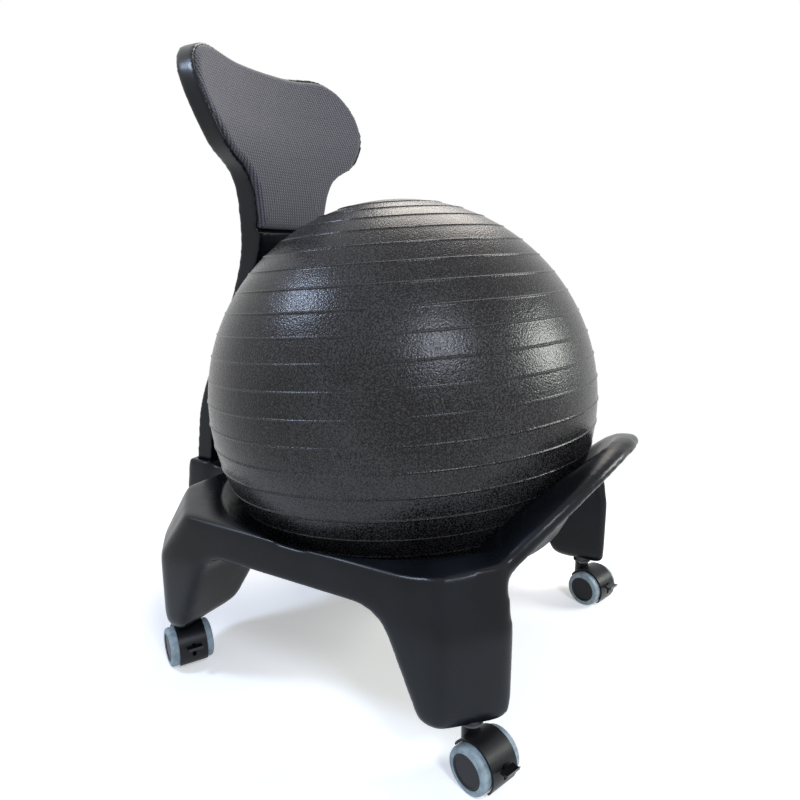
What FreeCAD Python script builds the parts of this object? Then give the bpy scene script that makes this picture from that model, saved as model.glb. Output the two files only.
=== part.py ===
"""Balance ball chair: a moulded base on four twin-wheel casters, an inflated ball and a T-shaped backrest.

Millimetres. +Z is up, the sitter faces -Y, and the origin is on the floor under the middle of the casters.
"""
import FreeCAD, Part

import math
import os

V = FreeCAD.Vector
X_AXIS = V(1, 0, 0)
Y_AXIS = V(0, 1, 0)
Z_AXIS = V(0, 0, 1)

# Ball
BALL_RADIUS = 260.0
BALL_WALL = 0.9
BALL_TILT = 4.5             # lean of the ring axis towards the backrest, degrees
RING_STEP = 6.38            # from one moulded ring to the next, degrees
RING_TOP = 74.5             # latitude of the upper ring, degrees
RING_COUNT = 24
RING_HEIGHT = 0.6
RING_HALF_WIDTH = 0.45      # degrees
INNER_STEPS = 20            # straight facets of the inner skin, pole to pole
PLUG_RADIUS = 4.5
PLUG_LENGTH = 9.0
PLUG_HEAD_RADIUS = 8.0
PLUG_HEAD = 1.6

# Base, seat and rim
SEAT_RADIUS = 206.0         # ring on which the ball sits
SEAT_HEIGHT = 190.0
SEAT_CLEARANCE = 0.3
BALL_OFFSET_Y = -6.0
DISH_SLOPE = 38.0           # dish above the seat, degrees
PAN_THICKNESS = 8.0
PAN_HOLE_RADIUS = 110.0
LIFT_OUT_LEAN = 30.0        # the ball lifts out upwards and this far forwards, degrees
RIM_HEIGHT = 224.0
CORNER_RISE = 14.0          # how far the front corners stand above the side rim
CORNER_RISE_LENGTH = 95.0

# Base, outside: half widths at the widest height, and how far the rim stands inside them
LEG_FOOT_HEIGHT = 62.0
LEG_WIDE_HEIGHT = 110.0
LEG_BEND_HEIGHT = 165.0
BODY_HALF_X = 258.0
BODY_HALF_Y = 250.0
CHAMFER_FRONT = 321.0       # distance of the corner faces from the middle, along the diagonal
CHAMFER_REAR = 324.0
RIM_DRAW_IN = 10.0
RIM_CORNER_DRAW_FRONT = 12.0
RIM_CORNER_DRAW_REAR = 42.0
CORNER_ROUND = 18.0
FOOT_ROUND = 24.0
FOOT_EDGE = 12.0
FOOT_EDGE_TURNS = (0.0, 37.0, 80.0)     # where the rounded lower edge is faceted, degrees
BASE_WALL = 4.0

# Arches between the legs
SIDE_ARCH_TOP = 180.0
SIDE_ARCH_CROWN = 122.0
SIDE_ARCH_FOOT = 172.0
REAR_ARCH_TOP = 190.0
REAR_ARCH_CROWN = 112.0
REAR_ARCH_FOOT = 160.0
ARCH_CROWN_ROUND = 45.0
FRONT_ARCH_TOP = 182.0
FRONT_ARCH_HALF = 192.0
FRONT_OPENING_TOP = 240.0   # under the lip, beside the corners
FRONT_OPENING_ROUND = 25.0

# Front lip: a flange round the ball whose rim is an arc in plan, highest in the middle
LIP_REACH = 319.0           # tip, in front of the middle
LIP_END_X = 195.0
LIP_END_Y = 237.0
LIP_END_TURN = 42.0         # end sections, degrees round from the front
LIP_STATIONS = 6            # sections from the middle to each end
LIP_HEIGHT = 326.0
LIP_END_HEIGHT = 240.0
LIP_ARCH_RADIUS = 249.0     # of the rim as seen from the front
LIP_THICKNESS = 14.0
LIP_END_THICKNESS = 28.0
LIP_END_DISH = 0.38         # fall of its top towards the ball at the ends
LIP_EDGE_ROUND = 8.0
LIP_FLANGE = 31.0           # from the tip to the wall that carries it
LIP_FLANGE_DROP = 7.0
LIP_WALL_RADIUS = 222.0     # foot of that wall, from the ball's axis

# Backrest socket
SOCKET_HALF_X = 62.0
SOCKET_BOTTOM = 150.0
SOCKET_TOP = 214.0
SOCKET_WALL = 7.0
SOCKET_CLEARANCE = 0.9
SOCKET_ROUND = 6.0
NECK_DROP = 6.0             # top of the neck below the socket's top

# Backrest: rear face in the middle plane, from the tongue to the head
LEAN = 8.0                  # of the tongue in its socket, degrees
TONGUE_REAR_Y = 355.0       # at the socket's top
TONGUE_THICKNESS = 31.0
TONGUE_HALF_X = 48.0
TONGUE_BOTTOM = 152.0
WRAP_RADIUS = 375.0         # plan curvature of the head around the sitter
HEAD_FACE_Y = 182.0         # front of the head where the wrap is measured
BOLT_HEIGHT = 196.0
BOLT_SPACING = 56.0
BOLT_RADIUS = 4.0
BOLT_CLEARANCE = 0.3
BOLT_HEAD_RADIUS = 7.5
BOLT_HEAD = 5.0
WASHER_RADIUS = 9.5
WASHER = 1.6
INSERT_RADIUS = 6.5
INSERT_LENGTH = 14.0
INSERT_FLOOR = 1.0
INSERT_SUNK = 1.0
BOLT_DRIVE_RADIUS = 3.4
BOLT_PLACES = [-BOLT_SPACING / 2, BOLT_SPACING / 2]
HEIGHT_TRAVEL = 30.0
SLOT_CLEARANCE = 0.3
BAR_HALF_X = 14.0
BAR_THICKNESS = 5.0
BAR_TOP = 556.0

# Side view of the post and head in the middle plane, (y, z) from above the socket upwards
FRONT_CURVE = [(316, 275), (302, 326), (265, 400), (232, 470), (212, 505), (190, 545), (HEAD_FACE_Y, 600),
               (183, 650), (190, 690), (206, 735), (222, 785), (226, 815)]
REAR_CURVE = [(346.4, 275), (331, 326), (293, 400), (257, 470), (240, 505), (225, 545), (218, 600),
              (217, 650), (223, 690), (238, 735), (254, 785), (258, 815)]

# Right half of the front view, (x, z) from the tongue to the middle of the top
HEAD_OUTLINE = [(TONGUE_HALF_X, 262), (49, 320), (52, 400), (57, 480), (66, 545), (74, 590), (82, 622),
                (100, 647), (135, 668), (164, 708), (170, 745), (152, 781), (117, 797), (60, 792), (0, 791)]

# Backrest pad
PAD_INSET = 2.5
PAD_BOTTOM = 568.0
PAD_CROWN = 7.0
PAD_ROUND = 5.0
PAD_PROUD = 8.0             # cushion edge in front of the shell
PAD_GAP = 0.3
PAD_WRAP_RADIUS = 460.0
WRAP_TURN = 60.0
BAR_END_COVER = 4.0
SHELL_WALL = 5.0
BOARD_THICKNESS = 6.0
BOARD_INSET = 10.0
SCREW_RADIUS = 2.5
SCREW_HEAD_RADIUS = 4.5
SCREW_HEAD = 2.2
SCREW_SUNK = 0.8
SCREW_LENGTH = 8.5
SCREW_PLACES = [(-100, 735), (100, 735), (0, 750), (0, 670)]

# Casters
STEM_X = 214.5
STEM_FRONT_Y = 212.5
STEM_REAR_Y = 216.5
WHEEL_RADIUS = 25.5
HUB_RADIUS = 18.8
WHEEL_OUTER = 27.5          # outer face of each wheel, from the caster's middle plane
WHEEL_INNER = 14.5
TRAIL = 20.0
AXLE_RADIUS = 3.0
AXLE_HALF = 24.0
RUNNING_CLEARANCE = 0.05
HOOD_GAP = 1.2              # between the tyre and the hood's fender
FENDER = 2.2
FENDER_HALF = 18.0
WEB_HALF = 7.0
HOOD_TOP = 56.7
HOOD_CLEAR_FLOOR = 8.0
BOSS_RADIUS = 10.0
STEM_RADIUS = 5.5
SPIGOT_RADIUS = 4.0
STEM_COLLAR_RADIUS = 8.5
STEM_COLLAR = 3.0
STEM_BOTTOM = 40.0
STEM_INSERT = 38.0
SLEEVE_RADIUS = 10.0
SLEEVE_FLANGE_RADIUS = 13.0
SLEEVE_FLANGE = 2.0
SOCKET_BOSS_RADIUS = 18.0
LEVER_ARM_HALF = 1.9
LEVER_SLOT_HALF = 2.4
LEVER_HALF = 9.5
LEVER_THICKNESS = 3.0
LEVER_LENGTH = 9.0
LEVER_HUB_RADIUS = 4.0
PIN_RADIUS = 1.6
LEVER_PIVOT_X = TRAIL + 14.0
LEVER_PIVOT_Z = WHEEL_RADIUS + 6.5
LEVER_SLOT_LOW = LEVER_PIVOT_Z - 12.0
LEVER_SLOT_TOP = LEVER_PIVOT_Z + 5.0
FENDER_OUTER = WHEEL_RADIUS + HOOD_GAP + FENDER

# Stem of each caster in plan, and which way the caster trails in degrees from +X
CASTERS = {
    "front_right": (-STEM_X, -STEM_FRONT_Y, -109.0),
    "front_left": (STEM_X, -STEM_FRONT_Y, -107.5),
    "rear_right": (-STEM_X, STEM_REAR_Y, -118.0),
    "rear_left": (STEM_X, STEM_REAR_Y, -110.0),
}

BALL_HEIGHT = SEAT_HEIGHT + math.sqrt(BALL_RADIUS ** 2 - SEAT_RADIUS ** 2)
BALL_CENTRE = V(0, BALL_OFFSET_Y, BALL_HEIGHT)


def tan(degrees):
    return math.tan(math.radians(degrees))


def sin(degrees):
    return math.sin(math.radians(degrees))


def cos(degrees):
    return math.cos(math.radians(degrees))


def cylinder(radius, start, end):
    """Round bar from one point to another."""
    return Part.makeCylinder(radius, (end - start).Length, start, end - start)


def rounded_wire(points, radii):
    """Closed wire of straight runs, with an arc of the given radius at each corner (0 leaves it sharp)."""
    count = len(points)
    starts, ends, middles = [], [], []
    for i, corner in enumerate(points):
        back = (points[i - 1] - corner).normalize()
        ahead = (points[(i + 1) % count] - corner).normalize()
        half_turn = back.getAngle(ahead) / 2
        reach = radii[i] / math.tan(half_turn)
        starts.append(corner + back * reach)
        ends.append(corner + ahead * reach)
        inward = (back + ahead).normalize()
        middles.append(corner + inward * (radii[i] / math.sin(half_turn) - radii[i]))
    edges = []
    for i in range(count):
        if radii[i] > 0:
            edges.append(Part.Arc(starts[i], middles[i], ends[i]).toShape())
        edges.append(Part.makeLine(ends[i], starts[(i + 1) % count]))
    return Part.Wire(edges)


def prism(wire, direction):
    """Solid swept straight along a direction from a flat closed wire."""
    return Part.Face(wire).extrude(direction)


def slab_x(points, half):
    """Solid with an outline of (y, z) points, reaching equally far to both sides of the middle plane."""
    wire = Part.makePolygon([V(-half, y, z) for y, z in points + points[:1]])
    return prism(wire, V(2 * half, 0, 0))


def spline(points):
    """Smooth edge through points."""
    curve = Part.BSplineCurve()
    curve.interpolate([V(*point) for point in points])
    return curve.toShape()


def body_section(height, draw, front_draw, rear_draw):
    """Plan of the base at one height: a square with cut corners, drawn in by the given distances."""
    half_x = BODY_HALF_X - draw
    half_y = BODY_HALF_Y - draw
    front = (CHAMFER_FRONT - front_draw) * math.sqrt(2)
    rear = (CHAMFER_REAR - rear_draw) * math.sqrt(2)
    points = [
        V(-half_x, -(front - half_x), height), V(-(front - half_y), -half_y, height),
        V(front - half_y, -half_y, height), V(half_x, -(front - half_x), height),
        V(half_x, rear - half_x, height), V(rear - half_y, half_y, height),
        V(-(rear - half_y), half_y, height), V(-half_x, rear - half_x, height),
    ]
    return rounded_wire(points, [CORNER_ROUND] * len(points))


def body_block(inset):
    """Outer form of the legs and the ring between them, before the arches are cut."""
    top = RIM_HEIGHT + CORNER_RISE
    foot = LEG_FOOT_HEIGHT + inset
    sections = []
    for turn in FOOT_EDGE_TURNS:
        draw = inset + FOOT_EDGE * (1 - sin(turn))
        sections.append(body_section(foot + FOOT_EDGE * (1 - cos(turn)), draw, draw, draw))
    sections += [
        body_section(LEG_WIDE_HEIGHT, inset, inset, inset),
        body_section(LEG_BEND_HEIGHT, inset, inset, inset),
        body_section(top, RIM_DRAW_IN + inset, RIM_CORNER_DRAW_FRONT + inset, RIM_CORNER_DRAW_REAR + inset),
    ]
    return Part.makeLoft(sections, True, True)


def rim_cap(inset):
    """All that lies above the rim, which climbs towards the front corners."""
    level = RIM_HEIGHT - inset
    rise_end = BODY_HALF_Y - RIM_DRAW_IN
    rise_start = rise_end - CORNER_RISE_LENGTH
    far = 2 * BODY_HALF_X
    points = [
        (far, level), (-rise_start, level), (-rise_end, level + CORNER_RISE), (-far, level + CORNER_RISE),
        (-far, far), (far, far),
    ]
    return slab_x(points, far)


def arch(inset, top, crown, foot, sideways):
    """Tunnel between two pairs of legs, with the rounded inner edges of the feet."""
    far = 2 * BODY_HALF_X
    floor = LEG_FOOT_HEIGHT + inset
    outline = [
        (-far, floor - far), (-far, floor), (-foot - inset, floor), (-crown - inset, top + inset),
        (crown + inset, top + inset), (foot + inset, floor), (far, floor), (far, floor - far),
    ]
    radii = [0, 0, FOOT_ROUND, ARCH_CROWN_ROUND, ARCH_CROWN_ROUND, FOOT_ROUND, 0, 0]
    if sideways:
        wire = rounded_wire([V(-far, a, z) for a, z in outline], radii)
        return prism(wire, V(2 * far, 0, 0))
    wire = rounded_wire([V(a, -far, z) for a, z in outline], radii)
    return prism(wire, V(0, 2 * far, 0))


def front_arch(inset):
    """Wide opening between the front legs."""
    far = 2 * BODY_HALF_X
    floor = LEG_FOOT_HEIGHT + inset
    half = FRONT_ARCH_HALF + inset
    outline = [(-far, floor - far), (-far, floor), (-half, floor), (-half, FRONT_ARCH_TOP + inset),
               (half, FRONT_ARCH_TOP + inset), (half, floor), (far, floor), (far, floor - far)]
    radii = [0, 0, FOOT_ROUND, 0, 0, FOOT_ROUND, 0, 0]
    wire = rounded_wire([V(x, -far, z) for x, z in outline], radii)
    return prism(wire, V(0, far, 0))


def front_opening(inset):
    """Space under the lip, in front of the wall that carries it and between the front corners."""
    far = 2 * BODY_HALF_X
    half = FRONT_ARCH_HALF + inset
    top = FRONT_OPENING_TOP
    outline = [V(-half, -far, 0), V(-half, -far, top), V(half, -far, top), V(half, -far, 0)]
    tunnel = prism(rounded_wire(outline, [0, FRONT_OPENING_ROUND, FRONT_OPENING_ROUND, 0]), V(0, far, 0))
    turn = LIP_END_TURN - 1
    corner = V(0, BALL_OFFSET_Y + inset / sin(turn), 0)
    sides = [corner + V(side * far * sin(turn), -far * cos(turn), 0) for side in (-1, 1)]
    sector = prism(Part.makePolygon([corner, *sides, corner]), V(0, 0, far))
    wall = Part.makeCylinder(LIP_WALL_RADIUS - inset, far, V(0, BALL_OFFSET_Y, 0))
    return tunnel.common(sector).cut(wall)


def dish(grow):
    """Open dish above the ball's seat."""
    rise = tan(DISH_SLOPE)
    drop = grow / cos(DISH_SLOPE)
    reach = 2 * BODY_HALF_X
    profile = [
        V(0, 0, SEAT_HEIGHT - drop), V(SEAT_RADIUS, 0, SEAT_HEIGHT - drop),
        V(reach, 0, SEAT_HEIGHT - drop + (reach - SEAT_RADIUS) * rise), V(0, 0, 3 * reach),
    ]
    cone = Part.Face(Part.makePolygon(profile + profile[:1])).revolve(V(0, 0, 0), Z_AXIS, 360)
    cone.translate(V(0, BALL_OFFSET_Y, 0))
    return cone


def ball_room(grow):
    """Space that the ball fills and passes through when it is lifted out over the lip."""
    radius = BALL_RADIUS + SEAT_CLEARANCE + grow
    away = V(0, -sin(LIFT_OUT_LEAN), cos(LIFT_OUT_LEAN)) * (2 * BALL_RADIUS)
    return Part.makeSphere(radius, BALL_CENTRE).fuse(cylinder(radius, BALL_CENTRE, BALL_CENTRE + away))


def lip_rim_radius(turn):
    """Distance of the rim's plan arc from the ball's axis, at an angle round from the front."""
    rise = LIP_REACH - LIP_END_Y
    arc = (LIP_END_X ** 2 + rise ** 2) / (2 * rise)
    offset = LIP_REACH - arc + BALL_OFFSET_Y
    return offset * cos(turn) + math.sqrt(arc ** 2 - (offset * sin(turn)) ** 2)


def lip_rim_height(x):
    """Height of the rim's arch as seen from the front."""
    fall = LIP_ARCH_RADIUS - math.sqrt(LIP_ARCH_RADIUS ** 2 - x ** 2)
    end_fall = LIP_ARCH_RADIUS - math.sqrt(LIP_ARCH_RADIUS ** 2 - LIP_END_X ** 2)
    return LIP_HEIGHT - (LIP_HEIGHT - LIP_END_HEIGHT) * fall / end_fall


def lip_section(turn):
    """Section through the lip and the wall that carries it, at an angle round from the front."""
    radius = lip_rim_radius(turn)
    x = radius * sin(turn)
    share = min(1.0, (x / LIP_END_X) ** 2)
    top = lip_rim_height(x)
    low = top - LIP_THICKNESS - (LIP_END_THICKNESS - LIP_THICKNESS) * share
    inner = SEAT_RADIUS - PAN_THICKNESS
    foot = SEAT_HEIGHT - PAN_THICKNESS
    profile = [
        (inner, top - (radius - inner) * LIP_END_DISH * share), (radius, top), (radius, low),
        (radius - LIP_FLANGE, low - LIP_FLANGE_DROP), (LIP_WALL_RADIUS, foot), (inner, foot),
    ]
    corners = [V(along * sin(turn), BALL_OFFSET_Y - along * cos(turn), height) for along, height in profile]
    return rounded_wire(corners, [0, LIP_EDGE_ROUND, LIP_EDGE_ROUND / 2, LIP_EDGE_ROUND, 0, 0])


def front_lip():
    """Flared flange across the front that keeps the ball from rolling forward."""
    step = LIP_END_TURN / LIP_STATIONS
    sections = [lip_section(step * k) for k in range(-LIP_STATIONS, LIP_STATIONS + 1)]
    return Part.makeLoft(sections, True, False)


def tongue_rear(height):
    """Rear face of the tongue in the middle plane, at a height near its socket."""
    return TONGUE_REAR_Y - (height - SOCKET_TOP) * tan(LEAN)


def leaning_block(front, rear, half_x, low, high, round_radius):
    """Block that leans forward with the tongue: front and rear are distances before its rear face."""
    points = []
    for height in (low, high):
        y = tongue_rear(height)
        points.append((y - front, y - rear, height))
    sections = []
    for y_front, y_rear, height in points:
        corners = [V(-half_x, y_front, height), V(half_x, y_front, height),
                   V(half_x, y_rear, height), V(-half_x, y_rear, height)]
        sections.append(rounded_wire(corners, [round_radius] * 4))
    return Part.makeLoft(sections, True, True)


def socket_outer():
    """Collar that holds the tongue, and the neck that joins it to the ring."""
    wall = SOCKET_WALL + SOCKET_CLEARANCE
    collar = leaning_block(TONGUE_THICKNESS + wall, -wall, SOCKET_HALF_X, SOCKET_BOTTOM, SOCKET_TOP,
                           SOCKET_ROUND)
    inner = SEAT_RADIUS + PAN_THICKNESS
    outer = tongue_rear(SOCKET_BOTTOM) - TONGUE_THICKNESS
    outer_top = tongue_rear(SOCKET_TOP) - TONGUE_THICKNESS - wall
    neck = slab_x([
        (inner, SEAT_HEIGHT - 10), (outer, SOCKET_BOTTOM), (outer_top, SOCKET_TOP - NECK_DROP),
        (inner, SOCKET_TOP - NECK_DROP),
    ], SOCKET_HALF_X - SOCKET_ROUND)
    return collar.fuse(neck)


def socket_bore():
    """Open-topped pocket for the tongue, with its bolt holes."""
    gap = SOCKET_CLEARANCE
    low, high = TONGUE_BOTTOM - PAD_GAP, SOCKET_TOP + 20
    skins = []
    for depth in (TONGUE_THICKNESS + gap, -gap):
        skins.append([(tongue_rear(low) - depth, low), (tongue_rear(high) - depth, high)])
    corners = skins[0] + skins[1][::-1]
    side = Part.makePolygon([V(0, y, z) for y, z in corners + corners[:1]])
    half = TONGUE_HALF_X + gap
    pocket = wrapped(side, WRAP_RADIUS, HEAD_FACE_Y)
    pocket = pocket.common(Part.makeBox(2 * half, 2 * TONGUE_REAR_Y, 2 * SOCKET_TOP, V(-half, 0, 0)))
    holes = []
    for x in BOLT_PLACES:
        holes.append(cylinder(BOLT_RADIUS + BOLT_CLEARANCE, bolt_point(x, -SOCKET_WALL - 5),
                              bolt_point(x, TONGUE_THICKNESS)))
        holes.append(cylinder(INSERT_RADIUS, insert_point(x, 0), insert_point(x, INSERT_LENGTH)))
    return pocket.multiFuse(holes)


def bolt_point(x, depth):
    """Point on a clamp bolt's axis, a distance in front of the tongue's rear face."""
    return V(x, tongue_rear(BOLT_HEIGHT) - depth * cos(LEAN), BOLT_HEIGHT - depth * sin(LEAN))


def insert_point(x, depth):
    """Point on a clamp bolt's axis, a distance into the socket's front wall."""
    return bolt_point(x, TONGUE_THICKNESS + SOCKET_CLEARANCE + depth)


def pan():
    """Spherical pan under the ball, open in the middle."""
    outer = Part.makeSphere(BALL_RADIUS + SEAT_CLEARANCE + PAN_THICKNESS, BALL_CENTRE)
    inner = Part.makeSphere(BALL_RADIUS + SEAT_CLEARANCE, BALL_CENTRE)
    reach = BODY_HALF_X
    slice_ = Part.makeBox(2 * reach, 2 * reach, SEAT_HEIGHT - 4, V(-reach, -reach + BALL_OFFSET_Y, 0))
    hole = Part.makeCylinder(PAN_HOLE_RADIUS, SEAT_HEIGHT, V(0, BALL_OFFSET_Y, 0))
    return outer.cut(inner).common(slice_).cut(hole)


def stem_places():
    """Foot of each caster's stem, on the floor."""
    return [V(x, y, 0) for x, y, _ in CASTERS.values()]


def base_core():
    """Hollow inside the legs and the ring, around the bosses that hold the casters."""
    core = body_block(BASE_WALL).cut(rim_cap(BASE_WALL))
    core = core.cut(arch(BASE_WALL, SIDE_ARCH_TOP, SIDE_ARCH_CROWN, SIDE_ARCH_FOOT, True))
    core = core.cut(arch(BASE_WALL, REAR_ARCH_TOP, REAR_ARCH_CROWN, REAR_ARCH_FOOT, False))
    core = core.cut(front_arch(BASE_WALL)).cut(front_opening(BASE_WALL))
    core = core.cut(dish(BASE_WALL)).cut(ball_room(BASE_WALL))
    foot = V(0, 0, LEG_FOOT_HEIGHT)
    bosses = [Part.makeCylinder(SOCKET_BOSS_RADIUS, STEM_INSERT + BASE_WALL, place + foot)
              for place in stem_places()]
    return core.cut(bosses[0].multiFuse(bosses[1:]))


def base_shell():
    """One-piece blow-moulded base."""
    body = body_block(0).cut(rim_cap(0))
    body = body.cut(arch(0, SIDE_ARCH_TOP, SIDE_ARCH_CROWN, SIDE_ARCH_FOOT, True))
    body = body.cut(arch(0, REAR_ARCH_TOP, REAR_ARCH_CROWN, REAR_ARCH_FOOT, False))
    body = body.cut(front_arch(0)).cut(front_opening(0)).cut(dish(0))
    body = body.cut(base_core()).fuse(front_lip()).fuse(socket_outer())
    body = body.cut(ball_room(0)).fuse(pan()).cut(socket_bore())
    for place in stem_places():
        top = LEG_FOOT_HEIGHT + STEM_INSERT
        body = body.cut(cylinder(SLEEVE_RADIUS, place + V(0, 0, 0), place + V(0, 0, top)))
    return body.removeSplitter()


def caster_sleeves():
    """Plastic sleeves pressed into the feet."""
    sleeves = []
    for place in stem_places():
        low = place + V(0, 0, LEG_FOOT_HEIGHT - SLEEVE_FLANGE)
        foot = place + V(0, 0, LEG_FOOT_HEIGHT)
        top = place + V(0, 0, LEG_FOOT_HEIGHT + STEM_INSERT)
        sleeve = cylinder(SLEEVE_FLANGE_RADIUS, low, foot).fuse(cylinder(SLEEVE_RADIUS, low, top))
        sleeves.append(sleeve.cut(cylinder(STEM_RADIUS, low, top)).removeSplitter())
    return Part.makeCompound(sleeves)


def caster_stems():
    """Steel stems: a shank in the sleeve, a collar under the foot and a spigot on which the hood turns."""
    stems = []
    for place in stem_places():
        collar_top = LEG_FOOT_HEIGHT - SLEEVE_FLANGE
        top = place + V(0, 0, LEG_FOOT_HEIGHT + STEM_INSERT)
        seat = place + V(0, 0, collar_top)
        under = place + V(0, 0, collar_top - STEM_COLLAR)
        stem = cylinder(STEM_RADIUS, seat, top).fuse(cylinder(STEM_COLLAR_RADIUS, under, seat))
        stem = stem.fuse(cylinder(SPIGOT_RADIUS, place + V(0, 0, STEM_BOTTOM), under))
        stems.append(stem.removeSplitter())
    return Part.makeCompound(stems)


def caster_hood():
    """Hood in the caster's own frame: the stem on the Z axis, the wheels trailing along +X."""
    centre = V(TRAIL, 0, WHEEL_RADIUS)
    inner = WHEEL_RADIUS + HOOD_GAP
    outer = inner + FENDER
    fender = cylinder(outer, centre - Y_AXIS * FENDER_HALF, centre + Y_AXIS * FENDER_HALF)
    fender = fender.cut(cylinder(inner, centre - Y_AXIS * FENDER_HALF, centre + Y_AXIS * FENDER_HALF))
    reach = 4 * WHEEL_RADIUS
    low_cut = slab_hood([(TRAIL - reach, -reach), (TRAIL + reach, -reach), (TRAIL + reach, HOOD_CLEAR_FLOOR),
                         (TRAIL, HOOD_CLEAR_FLOOR), (TRAIL - reach, WHEEL_RADIUS + reach)], FENDER_HALF + 1)
    fender = fender.cut(low_cut)
    web = cylinder(outer - FENDER / 2, centre - Y_AXIS * WEB_HALF, centre + Y_AXIS * WEB_HALF)
    trim = slab_hood([(TRAIL - reach, -reach), (TRAIL + reach, -reach), (TRAIL + reach, HOOD_CLEAR_FLOOR),
                      (TRAIL - reach, HOOD_CLEAR_FLOOR)], FENDER_HALF)
    web = web.cut(trim)
    boss = cylinder(BOSS_RADIUS, V(0, 0, WHEEL_RADIUS + BOSS_RADIUS), V(0, 0, HOOD_TOP))
    wheel_space = cylinder(WHEEL_RADIUS + HOOD_GAP / 2, centre + Y_AXIS * (WHEEL_INNER - HOOD_GAP / 2),
                           centre + Y_AXIS * 2 * WHEEL_OUTER)
    axle_boss = cylinder(2 * AXLE_RADIUS, centre - Y_AXIS * (WHEEL_INNER - 0.3),
                         centre + Y_AXIS * (WHEEL_INNER - 0.3))
    hood = fender.multiFuse([web, boss, axle_boss])
    hood = hood.cut(wheel_space).cut(wheel_space.mirror(V(0, 0, 0), Y_AXIS))
    hood = hood.cut(cylinder(SPIGOT_RADIUS + RUNNING_CLEARANCE, V(0, 0, STEM_BOTTOM - 1),
                             V(0, 0, HOOD_TOP + 1)))
    hood = hood.cut(cylinder(AXLE_RADIUS, centre - Y_AXIS * WHEEL_OUTER, centre + Y_AXIS * WHEEL_OUTER))
    slot = Part.makeBox(reach, 2 * LEVER_SLOT_HALF, LEVER_SLOT_TOP - LEVER_SLOT_LOW,
                        V(LEVER_PIVOT_X - 6, -LEVER_SLOT_HALF, LEVER_SLOT_LOW))
    return hood.cut(slot).cut(brake_pin()).removeSplitter()


def slab_hood(points, half):
    """Solid with an outline of (x, z) points in a caster's own frame."""
    wire = Part.makePolygon([V(x, -half, z) for x, z in points + points[:1]])
    return prism(wire, V(0, 2 * half, 0))


def brake_lever():
    """Lever that pokes out through the hood's slot, with the wide tread that a toe presses."""
    tread_x = TRAIL + FENDER_OUTER + 0.6
    tread_low = LEVER_PIVOT_Z + 1.0
    arm_low = LEVER_PIVOT_Z - 1.5
    tread_top = tread_low + LEVER_THICKNESS
    tread = Part.makeBox(LEVER_LENGTH, 2 * LEVER_HALF, LEVER_THICKNESS, V(tread_x, -LEVER_HALF, tread_low))
    tread_end = tread_x + LEVER_LENGTH
    hook = slab_hood([(tread_end - 2, tread_low), (tread_end, tread_low), (tread_end + 1.5, tread_top + 2),
                      (tread_end - 1, tread_top)], LEVER_HALF)
    arm = Part.makeBox(tread_x + 1 - LEVER_PIVOT_X, 2 * LEVER_ARM_HALF, tread_top - arm_low,
                       V(LEVER_PIVOT_X, -LEVER_ARM_HALF, arm_low))
    pivot = V(LEVER_PIVOT_X, 0, LEVER_PIVOT_Z)
    hub = cylinder(LEVER_HUB_RADIUS, pivot - Y_AXIS * LEVER_ARM_HALF, pivot + Y_AXIS * LEVER_ARM_HALF)
    bore = cylinder(PIN_RADIUS + RUNNING_CLEARANCE, pivot - Y_AXIS * LEVER_HALF, pivot + Y_AXIS * LEVER_HALF)
    return tread.multiFuse([hook, arm, hub]).cut(bore).removeSplitter()


def brake_pin():
    """Steel pin across the web, on which the lever turns."""
    pivot = V(LEVER_PIVOT_X, 0, LEVER_PIVOT_Z)
    return cylinder(PIN_RADIUS, pivot - Y_AXIS * WEB_HALF, pivot + Y_AXIS * WEB_HALF)


def caster_axle():
    """Steel axle through the hood."""
    return cylinder(AXLE_RADIUS, V(TRAIL, -AXLE_HALF, WHEEL_RADIUS), V(TRAIL, AXLE_HALF, WHEEL_RADIUS))


def wheel_ring(profile, side):
    """Ring turned about the axle from (distance along the axle, radius) points, on one side of the hood."""
    centre = V(TRAIL, 0, WHEEL_RADIUS)
    points = [centre + V(0, side * along, radius) for along, radius in profile]
    return Part.Face(Part.makePolygon(points + points[:1])).revolve(centre, Y_AXIS, 360)


def wheel_hub(side):
    """Hub: a dished disc with a blind bearing for the axle."""
    bore = AXLE_RADIUS + RUNNING_CLEARANCE
    boss = 2 * AXLE_RADIUS
    blind = AXLE_HALF + 0.4
    dish_face = WHEEL_OUTER - 1.2
    rim_face = WHEEL_OUTER - 0.4
    return wheel_ring([
        (WHEEL_INNER, bore), (blind, bore), (blind, 0), (dish_face, 0), (dish_face, HUB_RADIUS - 3),
        (rim_face, HUB_RADIUS - 2), (rim_face, HUB_RADIUS), (WHEEL_INNER, HUB_RADIUS),
        (WHEEL_INNER, HUB_RADIUS - 2.5), (WHEEL_OUTER - 5, HUB_RADIUS - 2.5), (WHEEL_OUTER - 5, boss),
        (WHEEL_INNER, boss),
    ], side)


def wheel_tyre(side):
    """Soft tread with rounded shoulders."""
    return wheel_ring([
        (WHEEL_INNER, HUB_RADIUS), (WHEEL_OUTER, HUB_RADIUS), (WHEEL_OUTER, WHEEL_RADIUS - 3.0),
        (WHEEL_OUTER - 0.9, WHEEL_RADIUS - 0.9), (WHEEL_OUTER - 3.0, WHEEL_RADIUS),
        (WHEEL_INNER + 1.5, WHEEL_RADIUS), (WHEEL_INNER, WHEEL_RADIUS - 1.5),
    ], side)


def placed(shape, caster):
    """Shape from a caster's own frame, turned and moved to its leg."""
    x, y, heading = CASTERS[caster]
    copy = shape.copy()
    copy.rotate(V(0, 0, 0), Z_AXIS, heading)
    copy.translate(V(x, y, 0))
    return copy


def ring_latitudes():
    """Latitudes of the moulded rings, evenly spaced from the upper one down."""
    return [RING_TOP - RING_STEP * k for k in reversed(range(RING_COUNT))]


def ball_point(latitude, radius):
    """Point at a latitude in the ball's half section."""
    return V(radius * cos(latitude), 0, radius * sin(latitude))


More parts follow.
